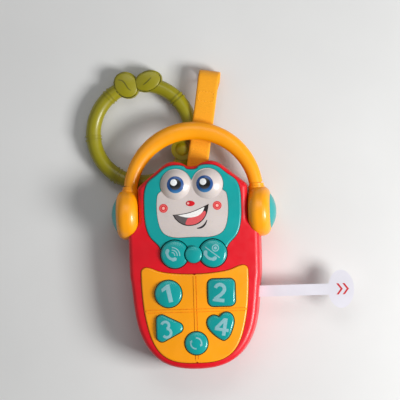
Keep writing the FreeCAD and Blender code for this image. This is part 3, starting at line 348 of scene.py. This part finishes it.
def triangulated(outlines, holes, spacing):
    """2D points and triangles that fill the outlines, less the holes."""
    points = []
    edges = []
    for polygon in outlines + holes:
        ring = resampled(polygon, spacing)
        first = len(points)
        points += ring
        edges += [(first + i, first + (i + 1) % len(ring)) for i in range(len(ring))]
    everything = [point for polygon in outlines for point in polygon]
    low = [min(p[i] for p in everything) for i in (0, 1)]
    high = [max(p[i] for p in everything) for i in (0, 1)]

    def filled(point):
        return any(inside(point, p) for p in outlines) and not any(inside(point, p) for p in holes)

    for i in range(int((high[0] - low[0]) / spacing) + 1):
        for j in range(int((high[1] - low[1]) / spacing) + 1):
            candidate = (low[0] + (i + 0.5 * (j % 2) + 0.25) * spacing, low[1] + (j + 0.4) * spacing)
            if filled(candidate):
                points.append(candidate)
    found = delaunay_2d_cdt([Vector(p) for p in points], edges, [], 0, 1e-6)
    flat = [tuple(p) for p in found[0]]
    triangles = []
    for face in found[2]:
        middle = (sum(flat[i][0] for i in face) / 3, sum(flat[i][1] for i in face) / 3)
        if filled(middle):
            triangles.append(face)
    return flat, triangles


def inlay(name, outlines, node, material, layer=0, holes=(), bulge=0.0, offset=(0, 0)):
    """Printed or inlaid art, in mm, laid on a node's front surface with a small raised edge.
    bulge lifts its middle, in mm, for a moulded detail."""
    outlines = [[(x + offset[0], y + offset[1]) for x, y in outline] for outline in outlines]
    holes = [[(x + offset[0], y + offset[1]) for x, y in hole] for hole in holes]
    flat, triangles = triangulated(outlines, holes, PRINT_GRID)
    used = sorted({i for face in triangles for i in face})
    new_index = {old: new for new, old in enumerate(used)}
    centre_x = sum(flat[i][0] for i in used) / len(used)
    centre_y = sum(flat[i][1] for i in used) / len(used)
    reach = max(math.dist(flat[i], (centre_x, centre_y)) for i in used)
    bm = bmesh.new()
    top = []
    for i in used:
        x, y = flat[i]
        z = height_on(node, x * MM, y * MM)
        distance = math.dist((x, y), (centre_x, centre_y)) / reach
        rise = PRINT_LIFT + PRINT_STEP * layer + bulge * (1 - distance ** 2)
        top.append(bm.verts.new((x * MM, y * MM, z + rise * MM)))
    for face in triangles:
        bm.faces.new([top[new_index[i]] for i in face])
    bmesh.ops.recalc_face_normals(bm, faces=bm.faces)
    if sum(face.normal.z for face in bm.faces) < 0:
        bmesh.ops.reverse_faces(bm, faces=bm.faces)
    rim = [edge for edge in bm.edges if edge.is_boundary]
    walls = bmesh.ops.extrude_edge_only(bm, edges=rim)
    for vertex in [v for v in walls["geom"] if isinstance(v, bmesh.types.BMVert)]:
        vertex.co.z -= PRINT_DEPTH * MM + PRINT_STEP * layer * MM
    piece = new_piece(name, bm, material)
    piece.data.set_sharp_from_angle(angle=math.radians(50))
    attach(piece, NODES[node]["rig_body"])
    return piece


def new_piece(name, bm, material):
    mesh = bpy.data.meshes.new(name)
    bm.to_mesh(mesh)
    bm.free()
    for polygon in mesh.polygons:
        polygon.use_smooth = True
    mesh.materials.append(material)
    piece = bpy.data.objects.new(name, mesh)
    bpy.context.scene.collection.objects.link(piece)
    return piece


def ellipse(x, y, half_x, half_y, turn=0.0, count=36):
    angles = [2 * math.pi * i / count for i in range(count)]
    points = [(half_x * math.cos(a), half_y * math.sin(a)) for a in angles]
    return turned([points], turn, x, y)[0]


def smooth(points, rounds=3, closed=False):
    """Corner-cut version of a polyline: a smooth curve near its points."""
    for _ in range(rounds):
        pairs = list(zip(points, points[1:] + points[:1])) if closed else list(zip(points, points[1:]))
        cut = [] if closed else [points[0]]
        for a, b in pairs:
            cut.append((a[0] * 0.75 + b[0] * 0.25, a[1] * 0.75 + b[1] * 0.25))
            cut.append((a[0] * 0.25 + b[0] * 0.75, a[1] * 0.25 + b[1] * 0.75))
        points = cut if closed else cut + [points[-1]]
    return points


def arc_points(x, y, radius, start, end, count=14):
    angles = [math.radians(start + (end - start) * i / count) for i in range(count + 1)]
    return [(x + radius * math.cos(a), y + radius * math.sin(a)) for a in angles]


def both_sides(points, widths):
    """The two sides of a brush stroke along the points, with a width at each point."""
    left = []
    right = []
    for i, (point, width) in enumerate(zip(points, widths)):
        before = points[max(0, i - 1)]
        after = points[min(len(points) - 1, i + 1)]
        length = math.dist(before, after)
        across = (-(after[1] - before[1]) / length, (after[0] - before[0]) / length)
        left.append((point[0] + across[0] * width / 2, point[1] + across[1] * width / 2))
        right.append((point[0] - across[0] * width / 2, point[1] - across[1] * width / 2))
    return left, right


def stroke(points, width, end_width=None, round_ends=True):
    """Outline of a stroke along the points, tapering to end_width."""
    end_width = width if end_width is None else end_width
    last = len(points) - 1
    left, right = both_sides(points, [width + (end_width - width) * i / last for i in range(last + 1)])
    if not round_ends:
        return left + right[::-1]
    return left + cap(points[-1], left[-1]) + right[::-1] + cap(points[0], right[0])


def brushed(points, widest, ends=0.25):
    """Outline of a brush stroke that swells in the middle."""
    last = len(points) - 1
    widths = [ends + (widest - ends) * math.sin(math.pi * i / last) for i in range(last + 1)]
    left, right = both_sides(points, widths)
    return left + right[::-1]


def cap(centre, start):
    """Half a circle clockwise from start about centre, without its two ends."""
    x, y = start[0] - centre[0], start[1] - centre[1]
    points = []
    for i in range(1, 6):
        angle = -math.pi * i / 6
        points.append((centre[0] + x * math.cos(angle) - y * math.sin(angle),
                       centre[1] + x * math.sin(angle) + y * math.cos(angle)))
    return points


def turned(polygons, degrees, x, y):
    """Polygons turned about their own origin and moved to (x, y)."""
    cos = math.cos(math.radians(degrees))
    sin = math.sin(math.radians(degrees))
    return [[(x + u * cos - v * sin, y + u * sin + v * cos) for u, v in polygon] for polygon in polygons]


# ---- the printed face ---------------------------------------------------------------------------
FACE_SHIFT = (0.6, 0.0)
EYES = ((-11.9, 57.7), (9.1, 57.7))
UPPER_LIP = [(-14.9, 36.2), (-10.0, 36.5), (-5.0, 37.1), (0.0, 38.4), (5.5, 40.6), (11.3, 43.3)]
LOWER_LIP = [(11.3, 43.3), (10.4, 38.0), (8.6, 33.8), (5.8, 30.6), (2.0, 28.5), (-2.5, 27.8),
             (-6.5, 28.3), (-10.2, 30.2), (-13.0, 33.0)]
TEETH_EDGE = [(8.1, 40.9), (7.0, 37.9), (4.4, 35.4), (0.4, 34.1), (-4.0, 33.9), (-8.2, 34.7), (-11.2, 36.0)]
TONGUE = [(-6.1, 28.9), (-5.2, 31.5), (-3.9, 33.9), (0.4, 34.1), (4.4, 35.4), (7.0, 37.9), (8.6, 38.6),
          (9.3, 37.0), (8.0, 34.0), (5.4, 31.3), (1.8, 29.2), (-2.5, 28.5)]
CREASE = [(2.3, 26.1), (4.6, 26.3), (6.6, 27.2), (8.4, 29.0), (9.8, 31.9)]


def eye_art(side, x, y):
    iris = faded_print(f"iris_{side}", linear(66, 128, 176), linear(8, 72, 138), y - 5.9, y - 2.9)
    pupil = faded_print(f"pupil_{side}", linear(84, 82, 84), linear(3, 4, 6), y - 4.2, y - 1.2)
    glint = printed("eye_glint", linear(246, 248, 248), 0.3)
    inlay(f"iris_{side}", [ellipse(x, y, 6.1, 6.1)], "face_plate", iris, 0, offset=FACE_SHIFT)
    inlay(f"pupil_{side}", [ellipse(x, y + 0.3, 4.15, 4.0)], "face_plate", pupil, 1, offset=FACE_SHIFT)
    inlay(f"glint_{side}", [ellipse(x - 1.1, y + 1.6, 2.4, 2.35)], "face_plate", glint, 2, offset=FACE_SHIFT)


def cheek_art(side, x, y):
    rose = printed("cheek_rose", linear(220, 52, 58))
    soft = printed("cheek_soft", linear(238, 122, 116))
    pale = printed("cheek_pale", linear(248, 182, 172))
    rings = [(3.15, rose), (2.4, soft), (2.05, rose), (1.05, pale)]
    for layer, (radius, ink) in enumerate(rings):
        inlay(f"cheek_{side}_{layer + 1}", [ellipse(x, y, radius, radius)], "face_plate", ink, layer,
              offset=FACE_SHIFT)


def mouth_art():
    ink = printed("mouth_line", linear(34, 26, 26))
    hollow = printed("mouth_hollow", linear(96, 88, 88))
    teeth = printed("teeth_white", linear(244, 242, 238))
    tongue = printed("tongue_pink", linear(222, 88, 92))
    outline = smooth(UPPER_LIP, 2) + smooth(LOWER_LIP, 2)[1:]
    middle = (-1.0, 34.6)
    inner = [(middle[0] + (x - middle[0]) * 0.93, middle[1] + (y - middle[1]) * 0.90) for x, y in outline]
    inlay("mouth_outline", [outline], "face_plate", ink, 0, offset=FACE_SHIFT)
    inlay("mouth_hollow", [[p for p in inner if p[0] < 3.0]], "face_plate", hollow, 1, offset=FACE_SHIFT)
    inlay("tongue", [smooth(TONGUE, 2, closed=True)], "face_plate", tongue, 2, offset=FACE_SHIFT)
    top = [(x, y - 0.55) for x, y in smooth(UPPER_LIP, 2) if -11.5 < x < 8.3]
    inlay("teeth", [top + smooth(TEETH_EDGE, 2)], "face_plate", teeth, 3, offset=FACE_SHIFT)
    inlay("smile_crease", [brushed(smooth(CREASE, 2), 1.35)], "face_plate", ink, 0, offset=FACE_SHIFT)


def nose_art():
    nose = plastic("nose_red", linear(204, 22, 34), 0.2, 0.5)
    glint = printed("nose_glint", linear(240, 176, 170))
    inlay("nose", [ellipse(-1.9, 44.0, 3.25, 1.95)], "face_plate", nose, 0, bulge=0.5, offset=FACE_SHIFT)
    inlay("nose_glint", [ellipse(-3.4, 44.15, 0.85, 0.75)], "face_plate", glint, 12, offset=FACE_SHIFT)


def printed_face():
    for side, (x, y) in zip(("left", "right"), EYES):
        eye_art(side, x, y)
    cheek_art("left", -21.3, 41.1)
    cheek_art("right", 17.3, 42.0)
    nose_art()
    mouth_art()


# ---- printed keys -------------------------------------------------------------------------------
def digit_one():
    return [[(-0.2, -6.4), (2.9, -6.4), (2.9, 6.5), (0.8, 6.5), (-3.5, 4.3), (-3.5, 1.9), (-0.2, 3.1)]]


def digit_two():
    width = 2.5
    hook = arc_points(0.0, 2.7, 3.3, 172, -30)
    down = [(1.2, -1.2), (-1.2, -3.2), (-2.9, -4.9)]
    base = [(-2.9, -5.2), (0.6, -5.2), (4.1, -5.2)]
    corner = [(-4.4, -6.4), (-1.6, -6.4), (-1.0, -3.8), (-4.2, -4.8)]
    lines = [stroke(line, width, round_ends=False) for line in (smooth(hook + down, 1), base)]
    return lines + [corner]


def digit_three():
    upper = arc_points(-0.2, 2.7, 2.65, 155, -75)
    lower = arc_points(0.0, -2.75, 3.1, 80, -150)
    return [stroke(line, 1.9, round_ends=False) for line in (upper, lower)]


def digit_four():
    stem = [(0.7, -6.2), (3.2, -6.2), (3.2, 6.3), (0.7, 6.3)]
    bar = [(-5.0, -3.2), (5.0, -3.2), (5.0, -1.0), (-5.0, -1.0)]
    slope = [(-5.0, -1.0), (-5.0, -2.1), (-2.9, -2.1), (1.6, 4.0), (1.6, 6.3), (0.5, 6.3)]
    return [stem, bar, slope]


def handset():
    """A telephone receiver, lying along its own X axis with its two ends turned up."""
    grip = stroke(arc_points(0.0, 3.9, 4.9, 222, 318), 1.9)
    ends = [stroke([(side * 3.4, 0.2), (side * 4.0, 1.5)], 2.6) for side in (-1, 1)]
    return [grip] + ends


def key_art():
    ink = printed("key_ink", PRINT_BLUE, 0.45)
    inlay("digit_1", turned(digit_one(), 11, -19.6, -20.1), "key_1", ink)
    inlay("digit_2", turned(digit_two(), -8, 17.8, -20.4), "key_2", ink)
    inlay("digit_3", turned(digit_three(), 8, -21.2, -45.3), "key_3", ink)
    inlay("digit_4", turned(digit_four(), -10, 18.9, -44.6), "key_4", ink)
    arrows = []
    for start in (0, 180):
        centre = (0.0, -56.0)
        radius = 3.9
        sweep = arc_points(centre[0], centre[1], radius, start + 92, start - 18)
        arrows.append(stroke(sweep, 1.05, round_ends=False))
        head = []
        for reach, angle in ((radius, -40), (radius + 1.15, -14), (radius - 1.15, -14)):
            turn = math.radians(start + angle)
            head.append((centre[0] + reach * math.cos(turn), centre[1] + reach * math.sin(turn)))
        arrows.append(head)
    inlay("redial_arrows", arrows, "key_redial", ink)


def call_art():
    ink = printed("call_ink", PRINT_BLUE, 0.45)
    pieces = turned(handset(), -50, -17.0, 6.7)
    for radius in (1.9, 3.7, 5.5):
        pieces.append(stroke(arc_points(-15.3, 7.4, radius, 88, -4), 0.75))
    inlay("call_symbol", pieces, "key_call", ink)
    pieces = turned(handset(), -34, 11.3, 5.5)
    pieces.append(stroke([(8.8, 12.5), (13.7, 8.6), (18.6, 4.8)], 0.75))
    inlay("hang_up_symbol", pieces, "key_hang_up", ink)
    x, y = 15.9, 11.7
    inlay("hang_up_ring", [ellipse(x, y, 2.6, 2.6)], "key_hang_up", ink, holes=[ellipse(x, y, 1.85, 1.85)])
    inlay("hang_up_dot", [ellipse(x, y, 1.15, 1.15, count=18)], "key_hang_up", ink)


# ---- clasp leaves and tab -----------------------------------------------------------------------
LEFT_LEAF = (-47.1, 131.0, 9.2, 7.9, 125)     # centre x and y, half axes, turn
RIGHT_LEAF = (-31.4, 133.4, 9.4, 6.6, 20)
PARTING_SHADE_OFFSET = 0.25            # the painted parting shadow strip's middle is this far outside the leaf


def leaf_art():
    """Painted shade on each leaf: a dark stroke for the shade in the vein pressed into it, and a dark strip
    for the shadow in the parting line under its lower edge.
    """
    # painted shade: the vein is the leaf's olive darkened, laid as a raised stroke in place of the shade in
    # the pressed groove
    ink = plastic("leaf_groove_shade", scaled(OLIVE, 0.4), 0.45, 0.1)
    left = smooth([(-53.0, 135.0), (-49.6, 134.6), (-47.2, 131.6), (-45.6, 128.4), (-43.4, 127.0)], 3)
    right = smooth([(-34.6, 130.6), (-31.4, 133.0), (-28.4, 136.0)], 2)
    inlay("leaf_vein_left", [brushed(left, 0.9)], "clasp_leaf_left", ink)
    inlay("leaf_vein_right", [brushed(right, 0.9)], "clasp_leaf_right", ink)
    # painted shadow: a near-black olive strip laid along each leaf's lower edge, where the parting gap is in
    # shade
    shadow = plastic("painted_parting_shade", scaled(OLIVE, 0.12), 0.6, 0.0)
    for side, leaf, node, start, end in (("left", LEFT_LEAF, "ring_body", 30, 190),
                                         ("right", RIGHT_LEAF, "ring_gate", 205, 375)):
        x, y, half_x, half_y, turn = leaf
        rim = []
        for i in range(41):
            angle = math.radians(start + (end - start) * i / 40)
            rim.append(((half_x + PARTING_SHADE_OFFSET) * math.cos(angle), (half_y + PARTING_SHADE_OFFSET) * math.sin(angle)))
        rim = turned([rim], turn, x, y)[0]
        inlay(f"painted_parting_shade_{side}", [brushed(rim, 0.7, 0.3)], node, shadow)


def tab_arrows():
    """Two plain arrowheads that show which way the tab pulls."""
    ink = printed("tab_red", linear(196, 44, 50))
    low, middle, high = -24.5, -20.5, -16.5
    chevrons = []
    for x in (100.6, 105.0):
        chevrons.append([(x, low), (x + 1.6, low), (x + 4.6, middle),
                         (x + 1.6, high), (x, high), (x + 3.0, middle)])
    inlay("tab_arrows", chevrons, "pull_tab", ink)


# ---- webbing ------------------------------------------------------------------------------------
def evened(points, step):
    """Points at equal steps along a polyline."""
    result = [points[0]]
    carried = 0.0
    for a, b in zip(points, points[1:]):
        length = math.dist(a, b)
        at = step - carried
        while at <= length:
            t = at / length
            result.append((a[0] + (b[0] - a[0]) * t, a[1] + (b[1] - a[1]) * t))
            at += step
        carried = length - (at - step)
    return result


def softened(points, rounds):
    """The polyline with each inner point drawn towards its neighbours."""
    for _ in range(rounds):
        inner = [((a[0] + b[0] * 2 + c[0]) / 4, (a[1] + b[1] * 2 + c[1]) / 4)
                 for a, b, c in zip(points, points[1:], points[2:])]
        points = [points[0]] + inner + [points[-1]]
    return points


def ribbon_mesh(path, width, to_world, ply=PLY):
    """A woven ribbon along a side-view path of (along, up) points in mm."""
    columns = 12
    half_ply = ply / 2
    bm = bmesh.new()
    rows = []
    travelled = 0.0
    for i, point in enumerate(path):
        before = path[max(0, i - 1)]
        after = path[min(len(path) - 1, i + 1)]
        length = math.dist(before, after)
        normal = (-(after[1] - before[1]) / length, (after[0] - before[0]) / length)
        if i:
            travelled += math.dist(path[i - 1], point)
        rib = RIB_HEIGHT * (abs(math.sin(math.pi * travelled / RIB_PITCH)) - 1.0)
        ring = []
        for face in (1, -1):
            order = range(columns + 1) if face > 0 else range(columns, -1, -1)
            for j in order:
                across = width * (j / columns - 0.5)
                edge = min(1.0, (width / 2 - abs(across)) / 0.5 + 0.45)
                lift = face * (half_ply + rib) * edge
                place = (across, point[0] + normal[0] * lift, point[1] + normal[1] * lift)
                ring.append(bm.verts.new(to_world(*place)))
        rows.append(ring)
    for one, two in zip(rows, rows[1:]):
        for j in range(len(one)):
            k = (j + 1) % len(one)
            bm.faces.new((one[j], one[k], two[k], two[j]))
    bm.faces.new(rows[0][::-1])
    bm.faces.new(rows[-1])
    bmesh.ops.recalc_face_normals(bm, faces=bm.faces)
    return bm


def strap_place():
    """Maps the strap's own (across, along, up), in mm from the pin, to the row frame."""
    pin = JOINTS["strap_swing"]["pos_m"]
    turn = Matrix.Rotation(math.radians(STRAP_LEAN), 3, "Z")

    def to_world(across, along, up):
        flat = turn @ Vector((across * MM, along * MM, 0))
        return (flat.x + pin[0], flat.y + pin[1], up * MM)

    return to_world


def strap_path():
    """Side view of the folded webbing: under the pin, round it, out, round the hanging eye and back."""
    pin_up = 9.0
    loop = 2.55
    back = -1.6
    eye_along = 81.6
    eye_up = 7.4
    eye_radius = 6.6
    near = [(back + loop * math.cos(a), pin_up + loop * math.sin(a))
            for a in [math.radians(270 - 18 * i) for i in range(11)]]
    far = [(eye_along + eye_radius * math.cos(a), eye_up + eye_radius * math.sin(a))
           for a in [math.radians(90 - 15 * i) for i in range(13)]]
    points = [(33.0, STRAP_LOW), (18.0, STRAP_LOW), (3.0, pin_up - loop)] + near
    points += [(3.0, pin_up + loop), (18.0, STRAP_TOP)] + far
    points += [(80.4, eye_up - eye_radius), (74.9, STRAP_LOW), (34.5, STRAP_LOW)]
    return softened(evened(points, WEBBING_STEP), 14)


def stitches(name, rows, to_world, up, material, body):
    """Rows of short thread stitches, each row a list of (across, along) ends in mm."""
    bm = bmesh.new()
    for (x1, y1), (x2, y2) in rows:
        count = max(1, round(math.dist((x1, y1), (x2, y2)) / STITCH_PITCH))
        for i in range(count):
            start = (i + STITCH_GAP) / count
            end = (i + 1 - STITCH_GAP) / count
            add_stitch(bm, to_world, (x1 + (x2 - x1) * start, y1 + (y2 - y1) * start),
                       (x1 + (x2 - x1) * end, y1 + (y2 - y1) * end), up)
    bmesh.ops.recalc_face_normals(bm, faces=bm.faces)
    piece = new_piece(name, bm, material)
    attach(piece, body)
    return piece


def add_stitch(bm, to_world, a, b, up):
    """One bowed thread from a to b, half sunk in the webbing."""
    sides = 8
    steps = 6
    length = math.dist(a, b)
    along = ((b[0] - a[0]) / length, (b[1] - a[1]) / length)
    rings = []
    for i in range(steps + 1):
        t = i / steps
        bow = math.sin(math.pi * t)
        thick = THREAD_RADIUS * (0.25 + 0.75 * bow ** 0.5)
        ring = []
        for k in range(sides):
            angle = 2 * math.pi * k / sides
            side = thick * math.cos(angle)
            x = a[0] + (b[0] - a[0]) * t - along[1] * side
            y = a[1] + (b[1] - a[1]) * t + along[0] * side
            z = up - THREAD_SINK + THREAD_BOW * bow + thick * math.sin(angle)
            ring.append(bm.verts.new(to_world(x, y, z)))
        rings.append(ring)
    for one, two in zip(rings, rings[1:]):
        for k in range(sides):
            bm.faces.new((one[k], one[(k + 1) % sides], two[(k + 1) % sides], two[k]))
    bm.faces.new(rings[0][::-1])
    bm.faces.new(rings[-1])


def hanging_strap():
    cloth = fabric("webbing", STRAP_ORANGE)
    thread = fabric("thread", scaled(STRAP_ORANGE, 1.25))
    to_world = strap_place()
    path = strap_path()
    piece = new_piece("woven_strap", ribbon_mesh(path, WEBBING_WIDTH, to_world), cloth)
    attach(piece, "strap")
    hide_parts("hanging_strap")
    half = 5.6
    boxes = []
    for near, far in ((21.0, 31.0), (66.0, 73.0)):
        corners = [(-half, near), (half, near), (half, far), (-half, far)]
        boxes += zip(corners, corners[1:] + corners[:1])
    upper = stitches("strap_stitches", boxes, to_world, STRAP_TOP + PLY / 2, thread, "strap")
    under = stitches("strap_stitches_back", boxes, to_world, STRAP_LOW - PLY / 2, thread, "strap")


def ring_keeper():
    """The narrow webbing loop that holds the ring to the strap, and its tail on the strap's back."""
    centre = JOINTS["ring_turn"]["pos_m"]
    turn = Matrix.Rotation(KEEPER_ANGLE, 3, "Z")

    def loop_to_world(across, outward, up):
        flat = turn @ Vector(((RING_RADIUS + outward) * MM, across * MM, 0))
        return (flat.x + centre[0], flat.y + centre[1], up * MM + centre[2])

    def tail_to_world(across, along, up):
        return (along * MM, centre[1] + (RING_RADIUS * math.sin(KEEPER_ANGLE) + across) * MM, up * MM)

    loop = arc_points(0.0, 0.0, KEEPER_LOOP_RADIUS, 75, 405, 33)
    tail_start = centre[0] / MM + RING_RADIUS * math.cos(KEEPER_ANGLE) - 1.0
    tail_end = -4.6
    tail_up = centre[2] / MM + 5.95
    tail = [(tail_start, tail_up), (tail_end, tail_up)]
    bm = ribbon_mesh(evened(loop, WEBBING_STEP), KEEPER_WIDTH, loop_to_world, KEEPER_PLY)
    tail_bm = ribbon_mesh(evened(tail, WEBBING_STEP), KEEPER_WIDTH, tail_to_world, KEEPER_PLY)
    tail_mesh = bpy.data.meshes.new("tail")
    tail_bm.to_mesh(tail_mesh)
    tail_bm.free()
    bm.from_mesh(tail_mesh)
    bpy.data.meshes.remove(tail_mesh)
    piece = new_piece("keeper_loop", bm, fabric("keeper_webbing", scaled(STRAP_ORANGE, 0.95)))
    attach(piece, "strap")
    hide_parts("ring_keeper")


# ---- materials of the CAD nodes -----------------------------------------------------------------
def paint(material, *names):
    for name in names:
        mesh = NODES[name].data
        mesh.materials.clear()
        mesh.materials.append(material)


def cad_materials():
    paint(plastic("red_gloss", RED, 0.40, 0.1), "front_shell")
    paint(plastic("red_grained", RED, 0.42, 0.1, 0.03, 0.35), "back_shell", "battery_door")
    paint(plastic("teal_gloss", TEAL, 0.32, 0.2), "face_bezel", "left_ear_cap", "right_ear_cap")
    paint(plastic("teal_key", scaled(TEAL, 0.95), 0.24, 0.35), "key_1", "key_2", "key_3", "key_4",
          "key_redial", "key_call", "key_hang_up")
    paint(plastic("yellow_gloss", YELLOW, 0.38, 0.15), "headband", "left_ear_cup", "right_ear_cup")
    paint(plastic("panel_orange", PANEL_ORANGE, 0.36, 0.15), "keypad_panel")
    paint(plastic("face_white", FACE_WHITE, 0.3, 0.3, subsurface=0.15), "face_plate")
    paint(plastic("olive_soft", OLIVE, 0.4, 0.12, subsurface=0.05), "ring_body", "ring_gate", "ring_rivet",
          "clasp_leaf_left", "clasp_leaf_right")
    paint(plastic("film_white", linear(214, 212, 220), 0.45, 0.1), "pull_tab")
    paint(plastic("acetal", linear(226, 222, 208), 0.4, 0.1), "pivot_pins")
    paint(plastic("silicone_grey", linear(120, 120, 122), 0.6, 0.0), "pivot_washers", "key_mat")
    paint(plastic("black_epoxy", linear(30, 30, 32), 0.4, 0.2), "sound_chip", "board_components")
    paint(plastic("speaker_black", linear(26, 26, 28), 0.55, 0.0, 0.03, 0.3), "speaker", "speaker_retainer")
    paint(plastic("lead_insulation", linear(170, 30, 30), 0.4, 0.2), "speaker_leads", "battery_leads")
    paint(metal("zinc_screw", (0.62, 0.63, 0.65, 1), 0.3), "case_screws", "door_screw", "board_screws",
          "speaker_screws", "cup_screws")
    paint(metal("steel_pin", (0.6, 0.6, 0.62, 1), 0.22), "strap_pin")
    paint(metal("nickel_contact", (0.72, 0.71, 0.66, 1), 0.25, 2), "battery_springs", "contact_plates")
    paint(metal("brass_contact", (0.78, 0.57, 0.22, 1), 0.25), "tab_contacts")
    paint(metal("cell_jacket", (0.16, 0.17, 0.2, 1), 0.35, 1), "battery_1", "battery_2")
    paint(board_material(), "circuit_board")
    paint(clear_lens(), "face_leds")


# ---- studio -------------------------------------------------------------------------------------
def camera():
    data = bpy.data.cameras.new("camera")
    data.sensor_width = SENSOR
    data.lens = SENSOR * CAMERA_DISTANCE / CAMERA_FIELD
    data.clip_start = 0.01
    data.clip_end = 20
    item = bpy.data.objects.new("camera", data)
    bpy.context.scene.collection.objects.link(item)
    target = mm(*CAMERA_TARGET)
    turn = Matrix.Rotation(CAMERA_ROLL, 4, "Z") @ Matrix.Rotation(CAMERA_TILT, 4, "Y")
    item.matrix_world = Matrix.Translation(target) @ turn @ Matrix.Translation((0, 0, CAMERA_DISTANCE * MM))
    bpy.context.scene.camera = item


def area_light(name, place, size, power):
    data = bpy.data.lights.new(name, "AREA")
    data.shape = "RECTANGLE"
    data.size, data.size_y = size
    data.energy = power
    item = bpy.data.objects.new(name, data)
    item.location = place
    item.rotation_mode = "QUATERNION"
    item.rotation_quaternion = (Vector(LIGHTS_AIM) - Vector(place)).to_track_quat("-Z", "Y")
    bpy.context.scene.collection.objects.link(item)


def studio():
    floor = bpy.data.meshes.new("floor")
    reach = 3.0
    floor_height = -0.0003
    corners = [(-reach, -reach), (reach, -reach), (reach, reach), (-reach, reach)]
    floor.from_pydata([(x, y, floor_height) for x, y in corners], [], [(0, 1, 2, 3)])
    floor.materials.append(floor_material())
    item = bpy.data.objects.new("floor", floor)
    bpy.context.scene.collection.objects.link(item)
    for light in LIGHTS:
        area_light(*light)
    world = bpy.data.worlds.new("studio")
    world.use_nodes = True
    background = world.node_tree.nodes["Background"]
    background.inputs["Color"].default_value = WORLD_COLOUR
    background.inputs["Strength"].default_value = WORLD_STRENGTH
    bpy.context.scene.world = world
    bpy.context.scene.view_settings.view_transform = "Standard"


camera()
studio()
cad_materials()
printed_face()
key_art()
call_art()
leaf_art()
tab_arrows()
hanging_strap()
ring_keeper()
